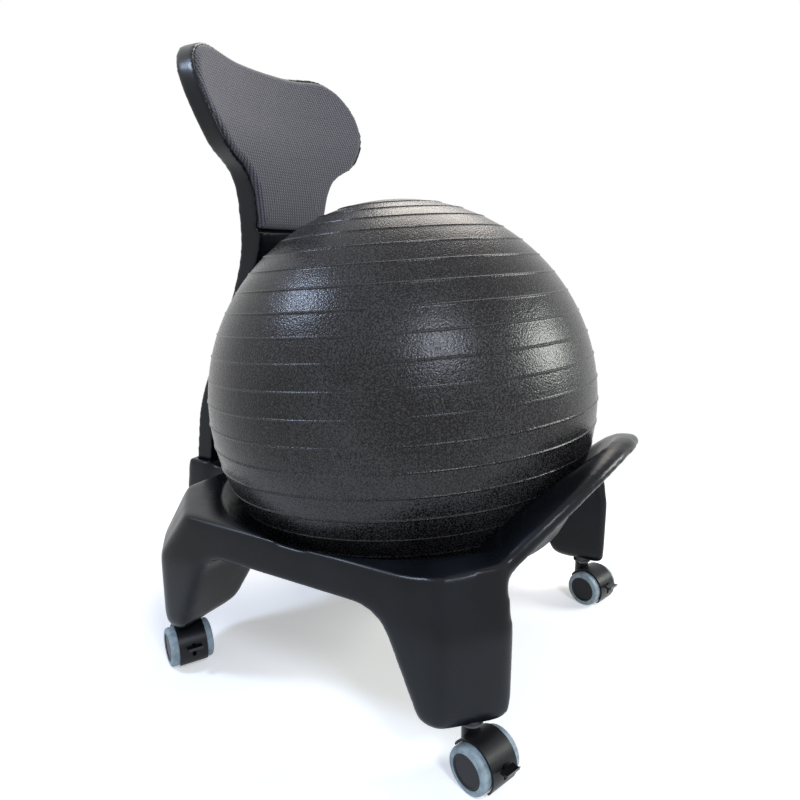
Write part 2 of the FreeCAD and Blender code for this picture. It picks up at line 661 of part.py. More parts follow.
def ball_outline():
    """Half outline of the ball: straight bands between narrow moulded rings."""
    band = BALL_RADIUS - RING_HEIGHT
    crests = ring_latitudes()
    points = []
    for crest in crests:
        points.append(ball_point(crest - RING_HALF_WIDTH, band))
        points.append(ball_point(crest, BALL_RADIUS))
        points.append(ball_point(crest + RING_HALF_WIDTH, band))
    low_pole, high_pole = V(0, 0, -band), V(0, 0, band)
    low_middle = ball_point((crests[0] - RING_HALF_WIDTH - 90) / 2, band)
    high_middle = ball_point((crests[-1] + RING_HALF_WIDTH + 90) / 2, band)
    edges = [Part.Arc(low_pole, low_middle, points[0]).toShape()]
    edges += [Part.makeLine(start, end) for start, end in zip(points, points[1:])]
    edges += [Part.Arc(points[-1], high_middle, high_pole).toShape(), Part.makeLine(high_pole, low_pole)]
    return Part.Wire(edges)


def ball_inside():
    """Inner skin, turned from straight facets that stay inside the wall."""
    step = 180.0 / INNER_STEPS
    radius = BALL_RADIUS - RING_HEIGHT - BALL_WALL
    points = [ball_point(-90 + step * k, radius) for k in range(INNER_STEPS + 1)]
    return Part.Face(Part.makePolygon(points + points[:1])).revolve(V(0, 0, 0), Z_AXIS, 360)


def seat_ball(shape):
    """Ball shape leaned back and set on its seat."""
    shape.rotate(V(0, 0, 0), X_AXIS, -BALL_TILT)
    shape.translate(BALL_CENTRE)
    return shape


def exercise_ball():
    """Hollow vinyl ball with its moulded rings and the boss of its filling hole."""
    skin = Part.Face(ball_outline()).revolve(V(0, 0, 0), Z_AXIS, 360)
    ball = skin.cut(ball_inside())
    hole = cylinder(PLUG_RADIUS, V(0, 0, -BALL_RADIUS - 5), V(0, 0, -BALL_RADIUS + 20))
    recess = cylinder(PLUG_HEAD_RADIUS, V(0, 0, -BALL_RADIUS - 5), V(0, 0, -BALL_RADIUS + PLUG_HEAD))
    boss_top = V(0, 0, -BALL_RADIUS + PLUG_LENGTH - 2)
    boss = cylinder(PLUG_HEAD_RADIUS + 3, V(0, 0, -BALL_RADIUS + RING_HEIGHT / 2), boss_top)
    ball = ball.fuse(boss).cut(hole).cut(recess)
    return seat_ball(ball.removeSplitter())


def air_plug():
    """Plug in the filling hole at the lower pole."""
    under_head = V(0, 0, -BALL_RADIUS + PLUG_HEAD)
    head = cylinder(PLUG_HEAD_RADIUS, V(0, 0, -BALL_RADIUS + RING_HEIGHT / 2), under_head)
    shank = cylinder(PLUG_RADIUS, under_head, V(0, 0, -BALL_RADIUS + PLUG_LENGTH))
    return seat_ball(head.fuse(shank).removeSplitter())


def head_outline(inset):
    """Front outline of the backrest, moved in by an inset, from one side of the tongue to the other."""
    right = [V(x, 0, z) for x, z in HEAD_OUTLINE]
    left = [V(-point.x, 0, point.z) for point in reversed(right[:-1])]
    points = right + left
    curve = Part.BSplineCurve()
    curve.interpolate(points)
    moved = []
    for point in points:
        along = curve.tangent(curve.parameter(point))[0]
        moved.append(point + along.cross(Y_AXIS).normalize() * inset)
    return moved


def outline_prism(inset, low, near, far):
    """Front outline of the backrest as a solid between two Y planes, moved in by an inset."""
    points = [point + Y_AXIS * near for point in head_outline(inset)]
    start, end = points[0], points[-1]
    start_foot, end_foot = V(start.x, near, low), V(end.x, near, low)
    wire = Part.Wire([spline(points), Part.makeLine(end, end_foot), Part.makeLine(end_foot, start_foot),
                      Part.makeLine(start_foot, start)])
    return prism(wire, V(0, far - near, 0))


def front_skin(depth, low):
    """Side-view points of a surface that lies a depth behind the front face, from a low end upwards."""
    foot = (tongue_rear(low) - TONGUE_THICKNESS + depth, low)
    return [foot] + [(y + depth, z) for y, z in FRONT_CURVE]


def rear_skin(depth, low):
    """The same for a surface that lies a depth in front of the rear face."""
    foot = (tongue_rear(low) - depth, low)
    return [foot] + [(y - depth, z) for y, z in REAR_CURVE]


def side_view(front, rear):
    """Closed side view between two skins: each is straight along the tongue and curved above it."""
    front = [(0, y, z) for y, z in front]
    rear = [(0, y, z) for y, z in rear]
    edges = [
        Part.makeLine(V(*front[0]), V(*front[1])), spline(front[1:]),
        Part.makeLine(V(*front[-1]), V(*rear[-1])), spline(rear[:0:-1]),
        Part.makeLine(V(*rear[1]), V(*rear[0])), Part.makeLine(V(*rear[0]), V(*front[0])),
    ]
    return Part.Wire(edges)


def wrapped(wire, radius, face_y):
    """Side view turned about an upright axis in front, so that the backrest wraps around the sitter."""
    axis = V(0, face_y - radius, 0)
    face = Part.Face(wire)
    face.rotate(axis, Z_AXIS, -WRAP_TURN / 2)
    return face.revolve(axis, Z_AXIS, WRAP_TURN)


def backrest_slice(front, rear, inset, low):
    """Part of the backrest between two skins, inside its front outline moved in by an inset."""
    slab = wrapped(side_view(front, rear), WRAP_RADIUS, HEAD_FACE_Y)
    return slab.common(outline_prism(inset, low, 0, 2 * TONGUE_REAR_Y))


def above(height):
    """All that lies above a height."""
    reach = 2 * TONGUE_REAR_Y
    return Part.makeBox(2 * reach, 2 * reach, reach, V(-reach, -reach, height))


def bolt_slot(x):
    """Slot through the tongue, along its lean: the bolt is at its upper end when the backrest is down."""
    radius = BOLT_RADIUS + SLOT_CLEARANCE
    along = V(0, sin(LEAN), -cos(LEAN)) * HEIGHT_TRAVEL
    start, end = bolt_point(x, -10), bolt_point(x, TONGUE_THICKNESS + 10)
    upper = cylinder(radius, start, end)
    lower = cylinder(radius, start + along, end + along)
    side = V(radius, 0, 0)
    middle = prism(Part.makePolygon([start - side, start + side, start + side + along, start - side + along,
                                     start - side]), end - start)
    return upper.multiFuse([lower, middle])


def support_bar():
    """Steel bar that stiffens the post, bent to its curve."""
    depth = (TONGUE_THICKNESS - BAR_THICKNESS) / 2
    low = TONGUE_BOTTOM + BAR_END_COVER
    section = side_view(rear_skin(depth + BAR_THICKNESS, low), rear_skin(depth, low))
    bar = wrapped(section, WRAP_RADIUS, HEAD_FACE_Y)
    reach = TONGUE_REAR_Y
    return bar.common(Part.makeBox(2 * BAR_HALF_X, 2 * reach, BAR_TOP - low, V(-BAR_HALF_X, 0, low)))


def tray(gap, floor):
    """Hollow in the head for the foam, or the foam that fills it with a gap all round."""
    inside = backrest_slice(front_skin(0, TONGUE_BOTTOM), rear_skin(floor, TONGUE_BOTTOM), SHELL_WALL + gap,
                            TONGUE_BOTTOM)
    return inside.common(above(PAD_BOTTOM + SHELL_WALL + gap))


def pad_step():
    """All that stands in front of the shell where the pad covers it."""
    front, back = front_skin(-PAD_CROWN, TONGUE_BOTTOM), front_skin(PAD_PROUD, TONGUE_BOTTOM)
    return wrapped(side_view(front, back), WRAP_RADIUS, HEAD_FACE_Y).common(above(PAD_BOTTOM))


def pad_rim():
    """Front layer of the pad, between its crowned face and the shell's step."""
    front, back = front_skin(-2 * PAD_CROWN, TONGUE_BOTTOM), front_skin(PAD_PROUD - PAD_GAP, TONGUE_BOTTOM)
    layer = backrest_slice(front, back, PAD_INSET, TONGUE_BOTTOM)
    return layer.common(above(PAD_BOTTOM + PAD_GAP)).common(pad_front())


def backrest_shell():
    """Moulded rear shell and post in one piece, with a tray for the pad and a pocket for the steel bar."""
    shell = backrest_slice(front_skin(0, TONGUE_BOTTOM), rear_skin(0, TONGUE_BOTTOM), 0, TONGUE_BOTTOM)
    shell = shell.cut(pad_step()).cut(tray(0, SHELL_WALL)).cut(support_bar())
    for x in BOLT_PLACES:
        shell = shell.cut(bolt_slot(x))
    return shell.cut(pad_screws()).cut(screw_holes()).removeSplitter()


def pad_front():
    """All that lies behind the pad's crowned face, which wraps less tightly than the shell does."""
    points = [(0, y, z) for y, z in FRONT_CURVE if z > PAD_BOTTOM - 80]
    first, last = points[0], points[-1]
    far = 2 * TONGUE_REAR_Y
    wire = Part.Wire([
        spline(points), Part.makeLine(V(*last), V(0, far, last[2])),
        Part.makeLine(V(0, far, last[2]), V(0, far, first[2])),
        Part.makeLine(V(0, far, first[2]), V(*first)),
    ])
    wire.translate(V(0, -PAD_CROWN, 0))
    return wrapped(wire, PAD_WRAP_RADIUS, HEAD_FACE_Y - PAD_CROWN)


def pad_cushion():
    """Foam pad under woven cloth: it fills the tray and swells forward between its rolled edges."""
    rim = pad_rim()
    skins = sorted(rim.Faces, key=lambda face: face.Area)[-2:]
    front = min(skins, key=lambda face: face.CenterOfMass.y)
    foam = tray(PAD_GAP, SHELL_WALL + BOARD_THICKNESS)
    return rim.makeFillet(PAD_ROUND, front.Edges).fuse(foam).removeSplitter()


def curve_y(curve, height):
    """Where a side-view curve stands at a height, straight between its points."""
    for (y_low, z_low), (y_high, z_high) in zip(curve, curve[1:]):
        if z_low <= height <= z_high:
            return y_low + (y_high - y_low) * (height - z_low) / (z_high - z_low)
    return curve[-1][0]


def pad_board():
    """Stiff board behind the foam, which the screws hold."""
    front = rear_skin(SHELL_WALL + BOARD_THICKNESS, TONGUE_BOTTOM)
    back = rear_skin(SHELL_WALL, TONGUE_BOTTOM)
    board = backrest_slice(front, back, SHELL_WALL + BOARD_INSET, TONGUE_BOTTOM)
    return board.common(above(PAD_BOTTOM + SHELL_WALL + BOARD_INSET)).cut(pad_screws())


def screw_heads():
    """Outer face of each pad screw's head, sunk in the rear shell."""
    axis_y = HEAD_FACE_Y - WRAP_RADIUS
    heads = []
    for x, z in SCREW_PLACES:
        radius = curve_y(REAR_CURVE, z) - axis_y
        heads.append(V(x, axis_y + math.sqrt(radius ** 2 - x ** 2) - SCREW_SUNK, z))
    return heads


def pad_screws():
    """Screws through the rear shell into the board."""
    screws = []
    for head in screw_heads():
        under = head - Y_AXIS * SCREW_HEAD
        screws.append(cylinder(SCREW_HEAD_RADIUS, head, under).fuse(
            cylinder(SCREW_RADIUS, under, head - Y_AXIS * SCREW_LENGTH)).removeSplitter())
    return Part.makeCompound(screws)


def screw_holes():
    """Way out to the rear skin behind each sunk screw head."""
    holes = [cylinder(SCREW_HEAD_RADIUS, head, head + Y_AXIS * 20) for head in screw_heads()]
    return holes[0].multiFuse(holes[1:])


def clamp_bolts():
    """Two bolts through the socket and the tongue's slots into the inserts."""
    bolts = []
    for x in BOLT_PLACES:
        face = -SOCKET_WALL - SOCKET_CLEARANCE - WASHER
        head = cylinder(BOLT_HEAD_RADIUS, bolt_point(x, face - BOLT_HEAD), bolt_point(x, face))
        shank = cylinder(BOLT_RADIUS, bolt_point(x, face), insert_point(x, INSERT_LENGTH - INSERT_FLOOR))
        drive = hexagon(x, face - BOLT_HEAD, BOLT_DRIVE_RADIUS, BOLT_HEAD / 2)
        bolts.append(head.fuse(shank).cut(drive).removeSplitter())
    return Part.makeCompound(bolts)


def hexagon(x, depth, radius, length):
    """Six-sided key socket along a bolt's axis."""
    centre = bolt_point(x, depth)
    inward = (bolt_point(x, depth + 1) - centre).normalize()
    up = X_AXIS.cross(inward)
    corners = [centre + X_AXIS * (radius * cos(60 * k)) + up * (radius * sin(60 * k)) for k in range(6)]
    return prism(Part.makePolygon(corners + corners[:1]), inward * length)


def clamp_washers():
    """Washers under the bolts' heads."""
    washers = []
    for x in BOLT_PLACES:
        face = -SOCKET_WALL - SOCKET_CLEARANCE
        start, end = bolt_point(x, face - WASHER), bolt_point(x, face)
        washers.append(cylinder(WASHER_RADIUS, start, end).cut(cylinder(BOLT_RADIUS, start, end)))
    return Part.makeCompound(washers)


def insert_nuts():
    """Brass inserts moulded into the socket's front wall."""
    nuts = []
    for x in BOLT_PLACES:
        start, end = insert_point(x, INSERT_SUNK), insert_point(x, INSERT_LENGTH)
        thread = cylinder(BOLT_RADIUS, start, insert_point(x, INSERT_LENGTH - INSERT_FLOOR))
        nuts.append(cylinder(INSERT_RADIUS, start, end).cut(thread))
    return Part.makeCompound(nuts)


def export(shapes):
    """Writes one STEP file for each node."""
    os.makedirs("parts", exist_ok=True)
    for name, shape in shapes.items():
        shape.exportStep("parts/" + name + ".step")


def main():
    """Builds every node and writes it."""
    shapes = {
        "base_shell": base_shell(), "caster_sleeves": caster_sleeves(), "caster_stems": caster_stems(),
        "exercise_ball": exercise_ball(), "air_plug": air_plug(), "backrest_shell": backrest_shell(),
        "support_bar": support_bar(), "pad_cushion": pad_cushion(), "pad_board": pad_board(),
        "pad_screws": pad_screws(), "clamp_bolts": clamp_bolts(), "clamp_washers": clamp_washers(),
        "insert_nuts": insert_nuts(),
    }
    hood, axle, pin, lever = caster_hood(), caster_axle(), brake_pin(), brake_lever()
    for caster in CASTERS:
        shapes[caster + "_hood"] = placed(hood, caster)
        shapes[caster + "_axle"] = placed(axle, caster)
        shapes[caster + "_brake_pin"] = placed(pin, caster)
        shapes[caster + "_brake_lever"] = placed(lever, caster)
        for name, side in (("wheel_a", 1), ("wheel_b", -1)):
            shapes[caster + "_" + name + "_hub"] = placed(wheel_hub(side), caster)
            shapes[caster + "_" + name + "_tyre"] = placed(wheel_tyre(side), caster)
    export(shapes)


if __name__ == "__main__":
    main()
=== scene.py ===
"""Balance ball chair: the looks of its moulded base, inflated ball, padded backrest and braked casters.

Everything is in metres in the frame of the solids: +Z up, the sitter faces -Y, the origin on the floor under
the middle of the four casters.
"""

import logging
import math
from dataclasses import dataclass, field
from enum import Enum
from typing import Any, ClassVar

import bpy
import numpy as np
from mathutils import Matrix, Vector

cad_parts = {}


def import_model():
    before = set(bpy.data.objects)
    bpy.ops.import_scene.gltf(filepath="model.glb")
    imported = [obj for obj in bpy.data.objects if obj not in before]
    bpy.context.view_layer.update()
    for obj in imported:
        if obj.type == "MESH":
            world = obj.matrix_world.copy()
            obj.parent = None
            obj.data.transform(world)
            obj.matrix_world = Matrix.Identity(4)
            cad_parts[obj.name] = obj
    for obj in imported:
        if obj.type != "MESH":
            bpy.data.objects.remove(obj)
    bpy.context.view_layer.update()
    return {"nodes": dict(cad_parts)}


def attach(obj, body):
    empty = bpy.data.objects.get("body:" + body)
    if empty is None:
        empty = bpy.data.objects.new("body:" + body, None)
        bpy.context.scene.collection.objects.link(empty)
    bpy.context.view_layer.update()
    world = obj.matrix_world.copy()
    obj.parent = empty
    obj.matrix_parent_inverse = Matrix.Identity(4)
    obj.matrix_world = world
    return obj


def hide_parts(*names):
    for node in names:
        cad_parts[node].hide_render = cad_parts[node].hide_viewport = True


LOG = logging.getLogger("ball_chair")
MM = 0.001
# The photograph's width and height.
PHOTO_PIXELS = 800
# Nearly all of a noise pattern lies between these two values.
NOISE_LOW, NOISE_HIGH = 0.3, 0.7
# The distance in metres between the bands of a wave pattern whose scale is 1.
WAVE_PITCH = math.pi / 10

Nodes = dict[str, bpy.types.Object]
Tree = bpy.types.NodeTree
Shader = bpy.types.Node
Socket = bpy.types.NodeSocket


class Caster(Enum):
    """The four casters, named for the sitter's right and left."""

    FRONT_RIGHT = "front_right"
    FRONT_LEFT = "front_left"
    REAR_RIGHT = "rear_right"
    REAR_LEFT = "rear_left"


# Materials


def linear(hex_code: str) -> tuple[float, float, float, float]:
    """Turns an sRGB colour into the linear one that shaders work in.

    Args:
        hex_code: Six hexadecimal digits, red first.

    Returns:
        Red, green, blue and an alpha of 1.
    """
    parts = [int(hex_code[i:i + 2], 16) / 255 for i in (0, 2, 4)]
    return (*[c / 12.92 if c <= 0.04045 else ((c + 0.055) / 1.055) ** 2.4 for c in parts], 1.0)


def per_metre(size_mm: float) -> float:
    """How often a pattern of this size repeats in a metre."""
    return 1000.0 / size_mm


def add_node(tree: Tree, kind: str, settings: dict[str | int, Any] | None = None,
             links: dict[str | int, Socket] | None = None) -> bpy.types.Node:
    """Adds one shader node with its settings and links.

    Args:
        tree: The material's node tree.
        kind: The node's type without its ShaderNode prefix.
        settings: Attribute names, or input socket names or numbers, and their values.
        links: Input socket names or numbers, and the output sockets that feed them.

    Returns:
        The new node.
    """
    node = tree.nodes.new("ShaderNode" + kind)
    for name, value in (settings or {}).items():
        if isinstance(name, str) and hasattr(node, name):
            setattr(node, name, value)
        else:
            node.inputs[name].default_value = value
    for name, source in (links or {}).items():
        tree.links.new(source, node.inputs[name])
    return node


@dataclass(frozen=True)
class Finish:
    """What every finish has: a name, typical values for its shader, and how a pattern varies them."""

    name: str
    colour: str
    roughness: float = 0.45
    ior: float = 1.5
    metallic: float = 0.0

    def material(self) -> bpy.types.Material:
        """Builds the material once and hands out the same one afterwards.

        Returns:
            The finished material.
        """
        found = bpy.data.materials.get(self.name)
        if found:
            return found
        material = bpy.data.materials.new(self.name)
        material.use_nodes = True
        tree = material.node_tree
        tree.nodes.clear()
        shader = add_node(tree, "BsdfPrincipled", {
            "Base Color": linear(self.colour), "Roughness": self.roughness, "IOR": self.ior,
            "Metallic": self.metallic})
        add_node(tree, "OutputMaterial", links={"Surface": shader.outputs["BSDF"]})
        self.surface(tree, shader, add_node(tree, "TexCoord").outputs["Object"])
        return material

    def surface(self, tree: Tree, shader: Shader, place: Socket) -> None:
        """Adds the pattern, grain and wear that this finish shows."""
        raise NotImplementedError

    def tint(self, tree: Tree, shader: Shader, pattern: Socket, stops: dict[float, str]) -> None:
        """Lets the base colour follow a pattern.

        Args:
            tree: The material's node tree.
            shader: The principled shader.
            pattern: The value that rises and falls over the surface.
            stops: Two values of the pattern and their sRGB colours, with a blend between them.
        """
        blend = add_node(tree, "ValToRGB", links={"Fac": pattern})
        for element, (position, colour) in zip(blend.color_ramp.elements, stops.items()):
            element.position = position
            element.color = linear(colour)
        tree.links.new(blend.outputs["Color"], shader.inputs["Base Color"])

    def polish(self, tree: Tree, shader: Shader, pattern: Socket, less: float, more: float) -> None:
        """Lets the roughness follow a noise pattern.

        Args:
            tree: The material's node tree.
            shader: The principled shader.
            pattern: The noise value.
            less: How far the roughness falls below the finish's own where the noise is low.
            more: How far it rises above it where the noise is high.
        """
        follow = add_node(tree, "MapRange", {
            "From Min": NOISE_LOW, "From Max": NOISE_HIGH, "To Min": self.roughness - less,
            "To Max": self.roughness + more}, {"Value": pattern})
        tree.links.new(follow.outputs["Result"], shader.inputs["Roughness"])

    def emboss(self, tree: Tree, shader: Shader, layers: list[tuple[Socket, float]]) -> None:
        """Raises patterns out of the surface, each on top of the one before.

        Args:
            tree: The material's node tree.
            shader: The principled shader.
            layers: Patterns and their heights in millimetres, where a negative height sinks the pattern.
        """
        below: dict[str, Socket] = {}
        for pattern, height_mm in layers:
            bump = add_node(tree, "Bump", {
                "Strength": 1.0, "Distance": abs(height_mm) * MM, "invert": height_mm < 0},
                {"Height": pattern} | below)
            below = {"Normal": bump.outputs["Normal"]}
        tree.links.new(below["Normal"], shader.inputs["Normal"])


@dataclass(frozen=True)
class MouldedPlastic(Finish):
    """Plastic from a tool with an etched grain: satin, with a faint orange-peel wave.

    The grain breaks the highlights into fine specks, the wave bends them a little, and rubbed places are
    smoother. The real grain is about 0.5 mm. It is drawn two to three times as coarse, so that it shows.
    """

    highlight: str = "2a2b2f"
    grain_mm: float = 1.3
    grain_height_mm: float = 0.02
    wave_mm: float = 28.0
    wave_height_mm: float = 0.10
    patch_mm: float = 60.0
    scuff: float = 0.08

    def surface(self, tree: Tree, shader: Shader, place: Socket) -> None:
        """Adds the etched grain, the slow wave and the rubbed patches.

        Args:
            tree: The material's node tree.
            shader: The principled shader.
            place: Object coordinates, in metres.
        """
        grain = add_node(tree, "TexNoise", {"Scale": per_metre(self.grain_mm), "Detail": 2.0},
                         {"Vector": place})
        wave = add_node(tree, "TexNoise", {"Scale": per_metre(self.wave_mm), "Detail": 1.0},
                        {"Vector": place})
        patches = add_node(tree, "TexNoise", {"Scale": per_metre(self.patch_mm), "Detail": 4.0},
                           {"Vector": place})
        self.tint(tree, shader, patches.outputs["Fac"], {0.35: self.colour, 0.75: self.highlight})
        self.polish(tree, shader, patches.outputs["Fac"], self.scuff, self.scuff)
        self.emboss(tree, shader, [(wave.outputs["Fac"], self.wave_height_mm),
                                   (grain.outputs["Fac"], self.grain_height_mm)])


@dataclass(frozen=True)
class BallVinyl(Finish):
    """Burst-resistant PVC, dip moulded: charcoal, with a pebbled grain that sparkles in its soft highlights.

    The real pebbles are about 1 mm. They are drawn at 2.2 mm, so that they still show.
    """

    # Paler end of the tone: painted glints on the raised specks, and the cloudy tone's own paler places.
    pale: str = "3b3a3c"
    pebble_mm: float = 2.2
    pebble_height_mm: float = 0.24
    speck_mm: float = 1.76
    speck_height_mm: float = 0.28
    cloud_mm: float = 120.0
    cloud_share: float = 0.35
    wave_mm: float = 45.0
    wave_height_mm: float = 0.25

    def surface(self, tree: Tree, shader: Shader, place: Socket) -> None:
        """Adds the pebbles, painted glints as paler speck tops, a cloudy tone and an inflated skin's slow
        wave.

        Args:
            tree: The material's node tree.
            shader: The principled shader.
            place: Object coordinates, in metres.
        """
        pebbles = add_node(tree, "TexVoronoi", {
            "feature": "SMOOTH_F1", "Scale": per_metre(self.pebble_mm), "Smoothness": 0.6, "Randomness": 1.0},
            {"Vector": place})
        specks = add_node(tree, "TexNoise", {"Scale": per_metre(self.speck_mm), "Detail": 2.0},
                          {"Vector": place})
        clouds = add_node(tree, "TexNoise", {"Scale": per_metre(self.cloud_mm), "Detail": 3.0},
                          {"Vector": place})
        wave = add_node(tree, "TexNoise", {"Scale": per_metre(self.wave_mm), "Detail": 1.0},
                        {"Vector": place})
        # Painted glints: raised specks are coloured paler, over the vinyl's own slow cloudy tone.
        cloud_tone_and_glints = add_node(tree, "Math", {"operation": "MULTIPLY_ADD", 1: self.cloud_share},
                        {0: clouds.outputs["Fac"], 2: specks.outputs["Fac"]})
        self.tint(tree, shader, cloud_tone_and_glints.outputs["Value"], {0.6: self.colour, 0.84: self.pale})
        self.polish(tree, shader, specks.outputs["Fac"], 0.08, 0.1)
        self.emboss(tree, shader, [(wave.outputs["Fac"], self.wave_height_mm),
                                   (pebbles.outputs["Distance"], -self.pebble_height_mm),
                                   (specks.outputs["Fac"], self.speck_height_mm)])


@dataclass(frozen=True)
class WovenCloth(Finish):
    """Polyester upholstery cloth with a fine diagonal rib, drawn at 2.7 mm pitch so that it still shows.

    The ribs are broken by the crossing threads, so that the cloth reads as rows of small grey stitches.
    """

    thread: str = "67656f"
    rib_mm: float = 2.7
    stitch_mm: float = 3.4
    slant_deg: float = 33.0
    height_mm: float = 0.25
    fuzz_mm: float = 3.0
    fuzz_share: float = 0.35
    sheen: float = 0.25
    sheen_roughness: float = 0.45

    def surface(self, tree: Tree, shader: Shader, place: Socket) -> None:
        """Adds ribs and stitches along the cloth's own UV map, which is in metres.

        Args:
            tree: The material's node tree.
            shader: The principled shader.
            place: Object coordinates, in metres, for the fuzz.
        """
        cloth = add_node(tree, "UVMap", {"uv_map": "cloth"}).outputs["UV"]
        slanted = add_node(tree, "Mapping", {"Rotation": (0.0, 0.0, math.radians(self.slant_deg))},
                           {"Vector": cloth}).outputs["Vector"]
        ribs = add_node(tree, "TexWave", {
            "wave_type": "BANDS", "bands_direction": "Y", "wave_profile": "SIN",
            "Scale": WAVE_PITCH / (self.rib_mm * MM), "Distortion": 0.5, "Detail": 1.0, "Detail Scale": 4.0},
            {"Vector": slanted})
        stitches = add_node(tree, "TexWave", {
            "wave_type": "BANDS", "bands_direction": "DIAGONAL",
            "Scale": WAVE_PITCH / (self.stitch_mm * MM), "Distortion": 0.8, "Detail": 1.0,
            "Detail Scale": 6.0}, {"Vector": slanted})
        weave = add_node(tree, "Math", {"operation": "MULTIPLY"},
                         {0: ribs.outputs["Fac"], 1: stitches.outputs["Fac"]})
        fuzz = add_node(tree, "TexNoise", {"Scale": per_metre(self.fuzz_mm), "Detail": 5.0},
                        {"Vector": place})
        threads = add_node(tree, "Math", {"operation": "MULTIPLY_ADD", 1: self.fuzz_share},
                           {0: fuzz.outputs["Fac"], 2: weave.outputs["Value"]})
        self.tint(tree, shader, threads.outputs["Value"], {0.1: self.colour, 0.85: self.thread})
        shader.inputs["Sheen Weight"].default_value = self.sheen
        shader.inputs["Sheen Roughness"].default_value = self.sheen_roughness
        self.emboss(tree, shader, [(threads.outputs["Value"], self.height_mm)])


@dataclass(frozen=True)
class SoftTread(Finish):
    """Grey polyurethane tread: soft and matt, a little darker where it rolls."""

    dirt: str = "76858c"
    dust_mm: float = 9.0
    skin_mm: float = 1.5
    skin_height_mm: float = 0.03

    def surface(self, tree: Tree, shader: Shader, place: Socket) -> None:
        """Adds the dust of the floor and a fine moulded skin.

        Args:
            tree: The material's node tree.
            shader: The principled shader.
            place: Object coordinates, in metres.
        """
        dust = add_node(tree, "TexNoise", {"Scale": per_metre(self.dust_mm), "Detail": 5.0},
                        {"Vector": place})
        skin = add_node(tree, "TexNoise", {"Scale": per_metre(self.skin_mm), "Detail": 2.0},
                        {"Vector": place})
        self.tint(tree, shader, dust.outputs["Fac"], {0.35: self.dirt, 0.6: self.colour})
        self.emboss(tree, shader, [(skin.outputs["Fac"], self.skin_height_mm)])


@dataclass(frozen=True)
class TurnedMetal(Finish):
    """Metal from a lathe or press, plated, blackened or bare: an even gloss, fine tool marks and tarnish."""

    spot: str = "8c8c8f"
    spot_mm: float = 4.0
    grain_mm: float = 0.8
    grain_height_mm: float = 0.01

    def surface(self, tree: Tree, shader: Shader, place: Socket) -> None:
        """Adds the spots of tarnish and the fine marks of the tool.

        Args:
            tree: The material's node tree.
            shader: The principled shader.
            place: Object coordinates, in metres.
        """
        spots = add_node(tree, "TexNoise", {"Scale": per_metre(self.spot_mm), "Detail": 5.0},
                         {"Vector": place})
        grain = add_node(tree, "TexNoise", {"Scale": per_metre(self.grain_mm), "Detail": 2.0},
                         {"Vector": place})
        self.tint(tree, shader, spots.outputs["Fac"], {0.4: self.colour, 0.75: self.spot})
        self.polish(tree, shader, spots.outputs["Fac"], 0.06, 0.1)
        self.emboss(tree, shader, [(grain.outputs["Fac"], self.grain_height_mm)])


@dataclass(frozen=True)
class BirchPlywood(Finish):
    """Rotary-cut plywood, sanded: long pale grain with darker late wood."""

    late_wood: str = "a1794c"
    grain_mm: float = 7.0
    grain_height_mm: float = 0.05
    # How much shorter a distance counts along the grain than across it.
    along: float = 0.12

    def surface(self, tree: Tree, shader: Shader, place: Socket) -> None:
        """Adds grain that runs across the board.

        Args:
            tree: The material's node tree.
            shader: The principled shader.
            place: Object coordinates, in metres.
        """
        drawn_out = add_node(tree, "Mapping", {"Scale": (self.along, 1.0, 1.0)}, {"Vector": place})
        grain = add_node(tree, "TexNoise", {"Scale": per_metre(self.grain_mm), "Detail": 6.0},
                         {"Vector": drawn_out.outputs["Vector"]})
        self.tint(tree, shader, grain.outputs["Fac"], {0.35: self.late_wood, 0.6: self.colour})
        self.emboss(tree, shader, [(grain.outputs["Fac"], self.grain_height_mm)])


# Polyethylene, blow moulded in an etched tool: near-black satin with broad, slightly grainy highlights.
BASE_POLYETHYLENE = MouldedPlastic("blow_moulded_polyethylene", "0b0e12", 0.28, ior=1.3, highlight="10141a",
                                   grain_height_mm=0.035)
# ABS, injection moulded: as dark as the base, with a finer grain and a flatter skin, so a crisper gloss.
BACKREST_ABS = MouldedPlastic("moulded_abs", "0d1014", 0.24, ior=1.3, highlight="12151b", grain_mm=1.1,
                              wave_height_mm=0.05)
# Nylon, injection moulded: duller than the base, as caster hoods and hubs are.
CASTER_NYLON = MouldedPlastic("caster_nylon", "0f1013", 0.36, ior=1.32, highlight="15171a", grain_mm=0.9,
                              wave_height_mm=0.02, wave_mm=12.0)
# ABS, injection moulded and polished by the toe: the blackest and shiniest plastic part.
LEVER_ABS = MouldedPlastic("lever_abs", "0a0a0b", 0.24, ior=1.4, highlight="0f0f10", grain_mm=0.9,
                           grain_height_mm=0.008, wave_height_mm=0.01)
# Nylon, injection moulded: matt, because nothing rubs it.
SLEEVE_NYLON = MouldedPlastic("sleeve_nylon", "151618", 0.5, ior=1.4, highlight="1c1d1f", wave_height_mm=0.01)
# Soft PVC, moulded: off-white and waxy.
PLUG_PVC = MouldedPlastic("plug_pvc", "c9c8c2", 0.4, highlight="d6d5cf", wave_height_mm=0.01)
# PVC, dip moulded: charcoal with a sparkle of pebbles, partly a painted glint of paler speck tops.
BALL_PVC = BallVinyl("pebbled_ball_pvc", "0b0a0b", 0.24, ior=1.34)
# Polyester, woven with a rib: dark grey with small paler stitches and no gloss.
PAD_CLOTH = WovenCloth("ribbed_polyester_cloth", "1d1c20", 0.8, ior=1.4)
# Polyurethane, cast: pale blue-grey and matt.
TREAD_POLYURETHANE = SoftTread("grey_polyurethane_tread", "93a3aa", 0.5, ior=1.4)
# Steel, turned and zinc plated: pale metal with a soft gloss.
ZINC_STEEL = TurnedMetal("zinc_plated_steel", "a9abb0", 0.32, metallic=1.0)
# Steel, pressed and blackened: dark, with a thin oiled gloss.
BLACK_STEEL = TurnedMetal("blackened_steel", "1c1c1e", 0.42, metallic=0.6, spot="2a2a2c")
